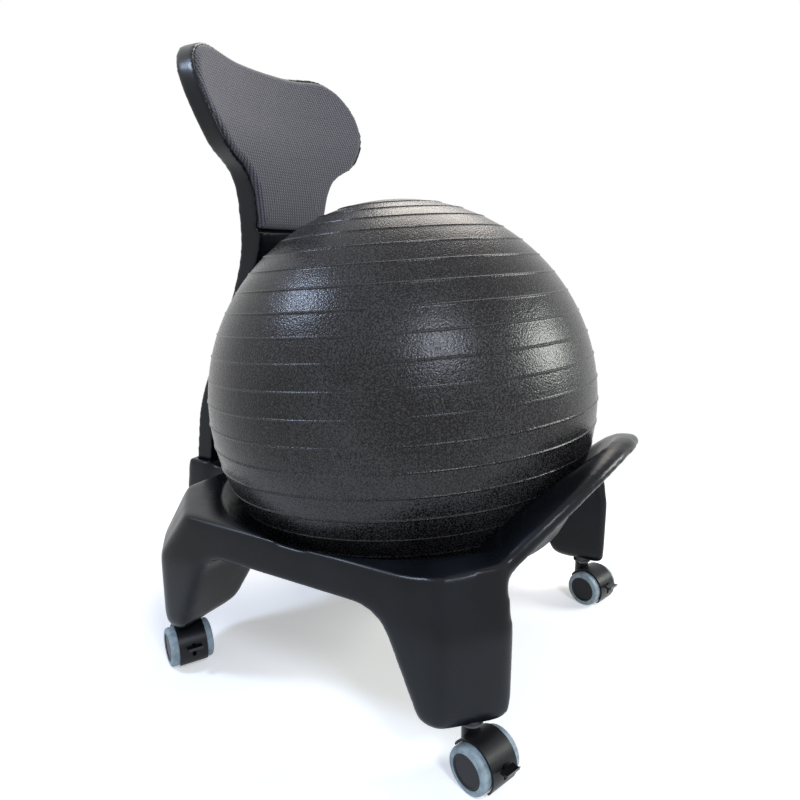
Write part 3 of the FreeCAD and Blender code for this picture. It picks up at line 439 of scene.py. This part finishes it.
# Brass, turned and left bare: yellow metal with browner spots.
BRASS = TurnedMetal("turned_brass", "b8924a", 0.3, metallic=1.0, spot="94733a")
# Birch plywood, sanded and left bare: pale, with long darker grain.
PLYWOOD = BirchPlywood("birch_plywood", "c9a878", 0.55)


# Meshes


def spline_through(points: np.ndarray, count: int) -> np.ndarray:
    """Smooth curve through points: each stretch is a cubic, its end slopes half the step between neighbours.

    Args:
        points: The points, one per row.
        count: How many samples to return, evenly spaced by their number.

    Returns:
        The samples, one per row.
    """
    line = np.vstack([2 * points[:1] - points[1:2], points, 2 * points[-1:] - points[-2:-1]])
    stretches = len(points) - 1
    place = np.linspace(0, stretches, count)
    index = np.minimum(place.astype(int), stretches - 1)
    t = (place - index)[:, None]
    a, b, c, d = (line[index + k] for k in range(4))
    return 0.5 * (2 * b + (c - a) * t + (2 * a - 5 * b + 4 * c - d) * t ** 2
                  + (3 * b - a - 3 * c + d) * t ** 3)


def grid_object(name: str, points: np.ndarray, closed: bool = False) -> bpy.types.Object:
    """Puts a grid of points into a mesh of quads.

    Args:
        name: The object's name.
        points: Rows of points, shaped (rows, columns, 3).
        closed: Whether each row is a ring, and a fan to its middle point closes the first and the last.

    Returns:
        The new object, smooth shaded.
    """
    rows, columns = points.shape[:2]
    start = np.arange(rows - 1)[:, None] * columns
    here = np.arange(columns if closed else columns - 1)
    beside = (here + 1) % columns
    quads = np.stack([start + here, start + beside, start + columns + beside, start + columns + here], -1)
    faces = quads.reshape(-1, 4).tolist()
    vertices = points.reshape(-1, 3)
    if closed:
        first_middle, last_row = len(vertices), len(vertices) - columns
        vertices = np.vstack([vertices, points[0].mean(0), points[-1].mean(0)])
        faces += np.stack([beside, here, np.full(columns, first_middle)], -1).tolist()
        faces += np.stack([last_row + here, last_row + beside,
                           np.full(columns, first_middle + 1)], -1).tolist()
    mesh = bpy.data.meshes.new(name)
    mesh.from_pydata(vertices.tolist(), [], faces)
    mesh.shade_smooth()
    thing = bpy.data.objects.new(name, mesh)
    bpy.context.scene.collection.objects.link(thing)
    return thing


def vertex_places(mesh: bpy.types.Mesh) -> np.ndarray:
    """Reads where a mesh's vertices are.

    Args:
        mesh: The mesh.

    Returns:
        One row of x, y and z in metres per vertex.
    """
    place = np.empty(len(mesh.vertices) * 3, np.float32)
    mesh.vertices.foreach_get("co", place)
    return place.reshape(-1, 3)


def dress(thing: bpy.types.Object, finish: Finish) -> None:
    """Gives an object one finish and nothing else."""
    thing.data.materials.clear()
    thing.data.materials.append(finish.material())


def settle(thing: bpy.types.Object) -> None:
    """Applies an object's modifiers, so that its mesh is the finished shape.

    Args:
        thing: The object.
    """
    evaluated = thing.evaluated_get(bpy.context.evaluated_depsgraph_get())
    mesh = bpy.data.meshes.new_from_object(evaluated)
    thing.modifiers.clear()
    thing.data = mesh


def joined_groups(mesh: bpy.types.Mesh) -> np.ndarray:
    """Finds which vertices edges join: each takes the lowest number in its group, until nothing changes.

    Args:
        mesh: The mesh.

    Returns:
        For each vertex, the lowest vertex number of its group.
    """
    edges = np.empty(len(mesh.edges) * 2, np.int32)
    mesh.edges.foreach_get("vertices", edges)
    start, end = edges.reshape(-1, 2).T
    group = np.arange(len(mesh.vertices))
    while True:
        lower = np.minimum(group[start], group[end])
        fresh = group.copy()
        np.minimum.at(fresh, start, lower)
        np.minimum.at(fresh, end, lower)
        fresh = fresh[fresh]
        if np.array_equal(fresh, group):
            return group
        group = fresh


@dataclass
class SoftEdgedMoulding:
    """A plastic moulding whose edges are rounded all over, as a blown or injected skin leaves them.

    The solid's skin is rebuilt from small even cells and then relaxed: every point moves half way to the mean
    of its neighbours a number of times, which rounds an edge by about the cell size times the square root of
    that number.
    """

    node: str
    body: str
    slot: str
    finish: Finish
    cell_mm: float
    rounds: int
    weld_mm: float = 0.02

    def build(self, nodes: Nodes) -> bpy.types.Object:
        """Builds the rounded skin over one solid.

        Args:
            nodes: The solids by name.

        Returns:
            The finished piece.
        """
        piece = bpy.data.objects.new(self.node + "_moulding", nodes[self.node].data.copy())
        bpy.context.scene.collection.objects.link(piece)
        weld = piece.modifiers.new("weld", "WELD")
        weld.merge_threshold = self.weld_mm * MM
        cells = piece.modifiers.new("cells", "REMESH")
        cells.mode = "VOXEL"
        cells.voxel_size = self.cell_mm * MM
        cells.use_smooth_shade = True
        relax = piece.modifiers.new("relax", "SMOOTH")
        relax.factor = 0.5
        relax.iterations = self.rounds
        settle(piece)
        self.keep_outer_skin(piece)
        piece.data.shade_smooth()
        dress(piece, self.finish)
        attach(piece, self.body)
        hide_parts(self.node)
        return piece

    def keep_outer_skin(self, piece: bpy.types.Object) -> None:
        """Drops closed inner skins, which nothing shows: only the part with the largest reach stays.

        Args:
            piece: The moulding, whose mesh is all quads.
        """
        mesh = piece.data
        group = joined_groups(mesh)
        names = np.unique(group)
        if len(names) == 1:
            return
        place = vertex_places(mesh)
        reach = [np.linalg.norm(np.ptp(place[group == name], axis=0)) for name in names]
        keep = group == names[int(np.argmax(reach))]
        number = np.cumsum(keep) - 1
        loops = np.empty(len(mesh.loops), np.int32)
        mesh.loops.foreach_get("vertex_index", loops)
        quads = loops.reshape(-1, 4)
        quads = number[quads[keep[quads[:, 0]]]]
        slim = bpy.data.meshes.new(piece.name)
        slim.from_pydata(place[keep].tolist(), [], quads.tolist())
        piece.data = slim


# The base


@dataclass
class MouldedBase:
    """Blow-moulded base with the metal and nylon parts that are pressed or screwed into it."""

    skin: SoftEdgedMoulding = field(default_factory=lambda: SoftEdgedMoulding(
        "base_shell", "base", "base_plastic", BASE_POLYETHYLENE, cell_mm=3.5, rounds=34))
    fittings: dict[str, Finish] = field(default_factory=lambda: {
        "caster_sleeves": SLEEVE_NYLON,
        "caster_stems": ZINC_STEEL,
        "clamp_bolts": BLACK_STEEL,
        "clamp_washers": BLACK_STEEL,
        "insert_nuts": BRASS,
    })

    def build(self, nodes: Nodes) -> list[bpy.types.Object]:
        """Builds the soft-edged moulding and dresses its fittings.

        Args:
            nodes: The solids by name.

        Returns:
            The moulding and the fittings.
        """
        for name, finish in self.fittings.items():
            dress(nodes[name], finish)
        return [self.skin.build(nodes)] + [nodes[name] for name in self.fittings]


# The ball


@dataclass
class ExerciseBall:
    """Inflated ball with thin moulded rings about an axis that leans to the rear."""

    radius_mm: float = 260.0
    centre_y_mm: float = -6.0
    centre_z_mm: float = 348.63
    tilt_deg: float = 4.5
    ring_step_deg: float = 6.38
    ring_top_deg: float = 74.5
    ring_count: int = 24
    ring_height_mm: float = 1.1
    ring_half_width_mm: float = 1.2
    # The bell curve falls to 1 / e of its height at this share of the half width.
    bell_share: float = 0.7
    turns: int = 256
    plain_rows: int = 110
    last_row_deg: float = 89.3

    # Where the rows across one ring lie, in half widths.
    RING_ROWS: ClassVar[np.ndarray] = np.array([-2.2, -1.4, -0.8, -0.4, 0.0, 0.4, 0.8, 1.4, 2.2])

    def profile(self) -> np.ndarray:
        """Latitudes and radii from pole to pole: a circle, plus a bell curve over each ring.

        Returns:
            Rows of latitude in radians and radius in metres.
        """
        rings = np.radians(self.ring_top_deg - self.ring_step_deg * np.arange(self.ring_count))
        width = self.ring_half_width_mm / self.radius_mm
        near = rings[:, None] + width * self.RING_ROWS
        between = np.radians(np.linspace(-self.last_row_deg, self.last_row_deg, self.plain_rows))
        latitude = np.sort(np.concatenate([near.ravel(), between]))
        closest = np.abs(latitude[:, None] - rings).min(1)
        bump = self.ring_height_mm * np.exp(-(closest / (self.bell_share * width)) ** 2)
        return np.stack([latitude, (self.radius_mm - self.ring_height_mm + bump) * MM], -1)

    def build(self, nodes: Nodes) -> list[bpy.types.Object]:
        """Turns the profile about the leaning axis.

        Each point is the radius times (cos latitude cos turn, cos latitude sin turn, sin latitude), leant
        about X and moved to the ball's centre.

        Args:
            nodes: The solids by name.

        Returns:
            The ball, and its plug.
        """
        latitude, radius = self.profile().T
        angle = np.linspace(0, 2 * np.pi, self.turns, endpoint=False)
        x = (radius * np.cos(latitude))[:, None] * np.cos(angle)
        y = (radius * np.cos(latitude))[:, None] * np.sin(angle)
        z = np.broadcast_to((radius * np.sin(latitude))[:, None], x.shape)
        lean = math.radians(-self.tilt_deg)
        points = np.stack([x, y * math.cos(lean) - z * math.sin(lean),
                           y * math.sin(lean) + z * math.cos(lean)], -1)
        points += np.array([0, self.centre_y_mm, self.centre_z_mm]) * MM
        ball = grid_object("inflated_ball", points, closed=True)
        dress(ball, BALL_PVC)
        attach(ball, "ball")
        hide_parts("exercise_ball")
        dress(nodes["air_plug"], PLUG_PVC)
        return [ball, nodes["air_plug"]]


# The backrest


@dataclass
class BackrestPad:
    """Crowned foam pad under stretched cloth, rolled over its front edge and tucked into the shell.

    Its face and the shell's step are the side curve turned about upright axes in front of them. The face's
    axis lies pad_wrap_mm and the step's wrap_mm in front of them at the curve's foremost point, face_y_mm.
    """

    edge_inset_mm: float = 3.4
    roll_mm: float = 10.0
    roll_power: float = 2.5
    crown_mm: float = 2.5
    wrap_mm: float = 375.0
    pad_wrap_mm: float = 460.0
    pad_crown_mm: float = 7.0
    step_mm: float = 7.7
    face_y_mm: float = 182.0
    centre_z_mm: float = 690.0
    around: int = 420
    face_rings: int = 44
    roll_rings: int = 14
    # The innermost ring's share of the face, and the turn at which the roll's first ring lies.
    innermost: float = 0.02
    first_turn_deg: float = 5.0
    # How far the cloth is tucked at least, and the shares at which rings lie on the tucked side and the back.
    least_tuck_mm: float = 0.5
    tucked_rings: tuple[float, ...] = (0.5, 1.0)
    back_rings: tuple[float, ...] = (0.97, 0.6, 0.2)
    side_samples: int = 240
    front_samples: int = 200
    smooth_front: np.ndarray = field(init=False)

    # The foremost line (y, z) in side view, and the outline (x, z) in front view: lower edge and right side.
    FRONT: ClassVar[np.ndarray] = np.array([
        (232, 470), (212, 505), (190, 545), (182, 600), (183, 650), (190, 690), (206, 735), (222, 785),
        (226, 815)], float)
    LOWER: ClassVar[np.ndarray] = np.array([(0, 568.3), (40, 568.3), (63, 568.9)])
    SIDE: ClassVar[np.ndarray] = np.array([
        (69, 568.3), (74, 590), (82, 622), (100, 647), (135, 668), (164, 708), (170, 745), (152, 781),
        (117, 797), (60, 792), (0, 791)], float)

    def __post_init__(self) -> None:
        """Samples the side curve once."""
        self.smooth_front = spline_through(self.FRONT, self.front_samples)

    def outline(self) -> np.ndarray:
        """Closed outline of the pad in front view, moved in from the shell's edge.

        It is the lower edge and the smooth side, whose first three samples the lower edge's rounded corner
        takes over, then both mirrored, and all of it walked in even steps of length.

        Returns:
            Points (x, z) in millimetres, evenly spaced, from the lower edge's middle round by the right side.
        """
        half = np.vstack([self.LOWER, spline_through(self.SIDE, self.side_samples)[3:]])
        full = np.vstack([half, (half * [-1, 1])[-2:0:-1]])
        step = np.linalg.norm(np.roll(full, -1, 0) - full, axis=1)
        length = np.concatenate([[0], np.cumsum(step)])
        at = np.linspace(0, length[-1], self.around, endpoint=False)
        closed = np.vstack([full, full[:1]])
        even = np.stack([np.interp(at, length, closed[:, k]) for k in (0, 1)], -1)
        return self.moved_in(even, self.edge_inset_mm)

    def moved_in(self, outline: np.ndarray, distance: float) -> np.ndarray:
        """Outline moved along its inward normal, square to the line between each point's third neighbours.

        Args:
            outline: Closed outline of points (x, z) in millimetres.
            distance: How far to move it, in millimetres.

        Returns:
            The new outline, point for point.
        """
        along = np.roll(outline, -3, 0) - np.roll(outline, 3, 0)
        along /= np.linalg.norm(along, axis=1)[:, None]
        return outline + distance * np.stack([-along[:, 1], along[:, 0]], -1)

    def front_y(self, flat: np.ndarray) -> np.ndarray:
        """Depth of the crowned face, which is the side curve turned about an upright axis.

        It is the axis's y, plus the root of: the curve's distance from the axis squared, less x squared.

        Args:
            flat: Points (x, z) in millimetres.

        Returns:
            Their y in millimetres.
        """
        curve = np.interp(flat[:, 1], self.smooth_front[:, 1], self.smooth_front[:, 0])
        axis_y = self.face_y_mm - self.pad_crown_mm - self.pad_wrap_mm
        return axis_y + np.sqrt((curve - self.pad_crown_mm - axis_y) ** 2 - flat[:, 0] ** 2)

    def step_y(self, flat: np.ndarray) -> np.ndarray:
        """Depth of the step that the cloth is tucked behind, by the same formula about the shell's axis.

        Args:
            flat: Points (x, z) in millimetres.

        Returns:
            Their y in millimetres.
        """
        curve = np.interp(flat[:, 1], self.smooth_front[:, 1], self.smooth_front[:, 0])
        axis_y = self.face_y_mm - self.wrap_mm
        return axis_y + np.sqrt((curve + self.step_mm - axis_y) ** 2 - flat[:, 0] ** 2)

    def rings(self) -> np.ndarray:
        """Works out the pad ring by ring: out over the face, round the rolled edge and back behind the step.

        Over the face a ring is the outline shrunk towards the middle. Over the roll the section is a quarter
        of a superellipse, which leaves the face without a crease: the outline is moved in by the radius times
        one minus the sine of the turn to the power 2 / roll_power, and set back by the same with its cosine.

        Returns:
            Points in millimetres, shaped (rings, around, 3).
        """
        edge = self.outline()
        inner = self.moved_in(edge, self.roll_mm)
        middle = np.array([0, self.centre_z_mm])
        laid: list[tuple[np.ndarray, np.ndarray]] = []
        for share in np.linspace(self.innermost, 1, self.face_rings):
            flat = middle + (inner - middle) * share
            laid.append((flat, self.front_y(flat) - self.crown_mm * (1 - share ** 3)))
        power = 2 / self.roll_power
        for turn in np.radians(np.linspace(self.first_turn_deg, 90, self.roll_rings)):
            flat = self.moved_in(edge, self.roll_mm * (1 - math.sin(turn) ** power))
            laid.append((flat, self.front_y(flat) + self.roll_mm * (1 - max(math.cos(turn), 0.0) ** power)))
        side = laid[-1][1]
        tucked = np.maximum(self.step_y(edge), side + self.least_tuck_mm)
        laid += [(edge, side + (tucked - side) * share) for share in self.tucked_rings]
        for share in self.back_rings:
            flat = middle + (edge - middle) * share
            laid.append((flat, self.step_y(flat)))
        return np.stack([np.stack([flat[:, 0], depth, flat[:, 1]], -1) for flat, depth in laid])

    def build(self) -> bpy.types.Object:
        """Builds the pad from its rings and lays the cloth on it.

        Returns:
            The finished pad.
        """
        points = self.rings() * MM
        pad = grid_object("backrest_pad", points, closed=True)
        self.lay_cloth(pad, points)
        dress(pad, PAD_CLOTH)
        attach(pad, "backrest")
        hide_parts("pad_cushion")
        return pad

    def lay_cloth(self, pad: bpy.types.Object, points: np.ndarray) -> None:
        """Gives the pad a UV map in metres, as if the cloth lay flat before it was stretched over the foam.

        Over the face a point keeps its place in front view. Beyond it, a ring lies further out along the
        outline's normal by the distance walked over the roll since the face.

        Args:
            pad: The finished pad.
            points: Its rings of points, from the middle of the face to the back.
        """
        last = self.face_rings - 1
        flat = points[..., [0, 2]].copy()
        outward = flat[last + 1] - flat[last]
        outward /= np.linalg.norm(outward, axis=1)[:, None]
        walked = np.cumsum(np.linalg.norm(np.diff(points[last:], axis=0), axis=2), axis=0)
        middles = [points[0][:, [0, 2]].mean(0), points[-1][:, [0, 2]].mean(0)]
        flat[last + 1:] = flat[last] + walked[..., None] * outward
        corners = np.vstack([flat.reshape(-1, 2), *middles])
        mesh = pad.data
        layer = mesh.uv_layers.new(name="cloth")
        index = np.empty(len(mesh.loops), np.int32)
        mesh.loops.foreach_get("vertex_index", index)
        layer.uv.foreach_set("vector", corners[index].astype(np.float32).ravel())


@dataclass
class Backrest:
    """Rear shell with its post, pad, steel bar, board and screws."""

    skin: SoftEdgedMoulding = field(default_factory=lambda: SoftEdgedMoulding(
        "backrest_shell", "backrest", "backrest_plastic", BACKREST_ABS, cell_mm=2.4, rounds=8))
    pad: BackrestPad = field(default_factory=BackrestPad)
    fittings: dict[str, Finish] = field(default_factory=lambda: {
        "support_bar": ZINC_STEEL,
        "pad_board": PLYWOOD,
        "pad_screws": BLACK_STEEL,
    })
    rim_rise_mm: float = 4.5
    shell_mm: float = 36.0
    rise_from_mm: float = 556.0
    rise_over_mm: float = 40.0
    head_half_mm: float = 170.0

    def raise_rim(self, piece: bpy.types.Object) -> None:
        """Swells the head's side band forward beside the pad, so that the cloth dips into a valley behind it.

        Each point moves forward by the rise times its share of the way from the rear skin to the step, and
        times a share of the height that grows as 3 t^2 - 2 t^3 above the pad's lower edge.

        Args:
            piece: The shell's moulding.
        """
        place = vertex_places(piece.data)
        x, y, z = (place / MM).T
        step = self.pad.step_y(np.stack([np.clip(x, -self.head_half_mm, self.head_half_mm), z], -1))
        thick = self.shell_mm - self.pad.step_mm
        share = np.clip((step + thick - y) / thick, 0, 1)
        t = np.clip((z - self.rise_from_mm) / self.rise_over_mm, 0, 1)
        place[:, 1] -= self.rim_rise_mm * MM * share * (3 * t ** 2 - 2 * t ** 3)
        piece.data.vertices.foreach_set("co", place.ravel())
        piece.data.update()

    def build(self, nodes: Nodes) -> list[bpy.types.Object]:
        """Builds the shell and the pad, and dresses what they hold.

        Args:
            nodes: The solids by name.

        Returns:
            The shell, the pad and the fittings.
        """
        shell, pad = self.skin.build(nodes), self.pad.build()
        self.raise_rim(shell)
        for name, finish in self.fittings.items():
            dress(nodes[name], finish)
        return [shell, pad] + [nodes[name] for name in self.fittings]


# The casters


@dataclass
class BrakedCasters:
    """Four swivelling twin-wheel casters with a toe brake each."""

    finishes: dict[str, Finish] = field(default_factory=lambda: {
        "hood": CASTER_NYLON,
        "axle": ZINC_STEEL,
        "brake_pin": ZINC_STEEL,
        "brake_lever": LEVER_ABS,
        "wheel_a_hub": CASTER_NYLON,
        "wheel_b_hub": CASTER_NYLON,
        "wheel_a_tyre": TREAD_POLYURETHANE,
        "wheel_b_tyre": TREAD_POLYURETHANE,
    })

    def dress(self, nodes: Nodes, caster: Caster) -> list[bpy.types.Object]:
        """Gives each part of one caster its finish.

        Args:
            nodes: The solids by name.
            caster: Which of the four.

        Returns:
            The caster's parts.
        """
        parts = []
        for part, finish in self.finishes.items():
            thing = nodes[f"{caster.value}_{part}"]
            dress(thing, finish)
            parts.append(thing)
        return parts


# Studio


@dataclass(frozen=True)
class SoftLamp:
    """Square soft lamp: its place and width in metres, its power in watts and its sRGB colour."""

    name: str
    place: tuple[float, float, float]
    width: float
    power: float
    colour: str

    def build(self, aim: Vector) -> None:
        """Hangs the lamp and aims it.

        Args:
            aim: The point that it lights, in metres.
        """
        data = bpy.data.lights.new(self.name, "AREA")
        data.shape = "SQUARE"
        data.size = self.width
        data.energy = self.power
        data.color = linear(self.colour)[:3]
        lamp = bpy.data.objects.new(self.name, data)
        bpy.context.scene.collection.objects.link(lamp)
        lamp.location = self.place
        lamp.rotation_euler = (aim - Vector(self.place)).to_track_quat("-Z", "Y").to_euler()


@dataclass
class Studio:
    """Pale floor, soft lamps and the camera at the photograph's angle."""

    azimuth_deg: float = -60.0
    elevation_deg: float = 12.2
    distance_mm: float = 918.7
    focal_pixels: float = 663.4
    principal: tuple[float, float] = (402.8, 394.2)
    target_mm: tuple[float, float, float] = (0.0, -6.0, 347.8)
    sensor_mm: float = 36.0
    nearest: float = 0.05
    lamps: tuple[SoftLamp, ...] = (
        SoftLamp("key_lamp", (-1.15, -1.48, 1.67), 0.5, 24.0, "e6eeff"),
        SoftLamp("front_lamp", (1.03, -1.85, 1.05), 0.75, 34.0, "fbfff8"),
        SoftLamp("rear_lamp", (-1.0, 1.24, 1.9), 0.36, 24.0, "cfe1ff"),
        SoftLamp("rim_lamp", (1.3, 0.4, 1.95), 1.1, 18.0, "fff6ec"),
    )
    lamp_aim: tuple[float, float, float] = (0.0, 0.0, 0.38)
    room_colour: str = "e9edf2"
    room_strength: float = 0.42
    floor_colour: str = "f4f4f4"
    floor_half: float = 6.0
    floor_glow: float = 0.35
    fade_mm: tuple[float, float] = (450.0, 900.0)

    def build(self) -> None:
        """Builds the floor, the lamps, the world and the camera."""
        self.floor()
        for lamp in self.lamps:
            lamp.build(Vector(self.lamp_aim))
        self.world()
        self.camera()

    def floor(self) -> None:
        """Adds a wide pale floor that keeps the chair's shadow and fades to the white backdrop."""
        ends = np.array([-self.floor_half, self.floor_half])
        x, y = np.meshgrid(ends, ends)
        floor = grid_object("studio_floor", np.stack([x, y, np.zeros_like(x)], -1))
        material = bpy.data.materials.new("studio_floor")
        material.use_nodes = True
        tree = material.node_tree
        tree.nodes.clear()
        diffuse = add_node(tree, "BsdfDiffuse", {"Color": linear(self.floor_colour)})
        glow = add_node(tree, "Emission", {"Color": linear("ffffff"), "Strength": self.floor_glow})
        both = add_node(tree, "AddShader", links={0: diffuse.outputs["BSDF"], 1: glow.outputs["Emission"]})
        white = add_node(tree, "Emission", {"Color": linear("ffffff"), "Strength": 1.0})
        away = add_node(tree, "VectorMath", {"operation": "LENGTH"},
                        {0: add_node(tree, "TexCoord").outputs["Object"]})
        fade = add_node(tree, "MapRange", {
            "interpolation_type": "SMOOTHSTEP", "From Min": self.fade_mm[0] * MM,
            "From Max": self.fade_mm[1] * MM}, {"Value": away.outputs["Value"]})
        seen = add_node(tree, "MixShader", links={0: fade.outputs["Result"], 1: both.outputs["Shader"],
                                                  2: white.outputs["Emission"]})
        shown = add_node(tree, "MixShader", links={0: self.shows_backdrop(tree), 1: diffuse.outputs["BSDF"],
                                                   2: seen.outputs["Shader"]})
        add_node(tree, "OutputMaterial", links={"Surface": shown.outputs["Shader"]})
        floor.data.materials.append(material)

    def shows_backdrop(self, tree: Tree) -> Socket:
        """Adds a value that is 1 for rays that show the backdrop: the camera's, and those of metal and glass.

        Args:
            tree: The node tree of the floor or of the world.

        Returns:
            The value.
        """
        path = add_node(tree, "LightPath")
        gloss = add_node(tree, "Math", {"operation": "MAXIMUM"},
                         {0: path.outputs["Is Glossy Ray"], 1: path.outputs["Is Transmission Ray"]})
        shows = add_node(tree, "Math", {"operation": "MAXIMUM"},
                         {0: path.outputs["Is Camera Ray"], 1: gloss.outputs["Value"]})
        return shows.outputs["Value"]

    def world(self) -> None:
        """Lights the chair evenly, and shows white behind it."""
        world = bpy.data.worlds.new("studio_world")
        world.use_nodes = True
        tree = world.node_tree
        tree.nodes.clear()
        soft = add_node(tree, "Background", {
            "Color": linear(self.room_colour), "Strength": self.room_strength})
        white = add_node(tree, "Background", {"Color": linear("ffffff"), "Strength": 1.0})
        mix = add_node(tree, "MixShader", links={0: self.shows_backdrop(tree), 1: soft.outputs["Background"],
                                                 2: white.outputs["Background"]})
        add_node(tree, "OutputWorld", links={"Surface": mix.outputs["Shader"]})
        bpy.context.scene.world = world

    def camera(self) -> None:
        """Places the camera on its sphere about the chair and frames it as the photograph does."""
        azimuth, elevation = math.radians(self.azimuth_deg), math.radians(self.elevation_deg)
        back = Vector((math.sin(azimuth) * math.cos(elevation), -math.cos(azimuth) * math.cos(elevation),
                       math.sin(elevation)))
        target = Vector(self.target_mm) * MM
        data = bpy.data.cameras.new("photo_camera")
        data.sensor_width = self.sensor_mm
        data.lens = self.focal_pixels / PHOTO_PIXELS * self.sensor_mm
        data.shift_x = (PHOTO_PIXELS / 2 - self.principal[0]) / PHOTO_PIXELS
        data.shift_y = (self.principal[1] - PHOTO_PIXELS / 2) / PHOTO_PIXELS
        data.clip_start = self.nearest
        camera = bpy.data.objects.new("photo_camera", data)
        bpy.context.scene.collection.objects.link(camera)
        camera.location = target + back * self.distance_mm * MM
        camera.rotation_euler = (-back).to_track_quat("-Z", "Y").to_euler()
        bpy.context.scene.camera = camera


def main() -> None:
    """Builds the chair's looks in order and reports each piece."""
    logging.basicConfig(level=logging.INFO, format="%(message)s")
    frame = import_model()
    nodes = frame["nodes"]
    bpy.context.scene.view_settings.view_transform = "Standard"
    pieces = MouldedBase().build(nodes) + ExerciseBall().build(nodes) + Backrest().build(nodes)
    casters = BrakedCasters()
    for caster in Caster:
        pieces += casters.dress(nodes, caster)
    Studio().build()
    for piece in pieces:
        LOG.info("%s: %d faces", piece.name, len(piece.data.polygons))


if __name__ == "__main__":
    main()
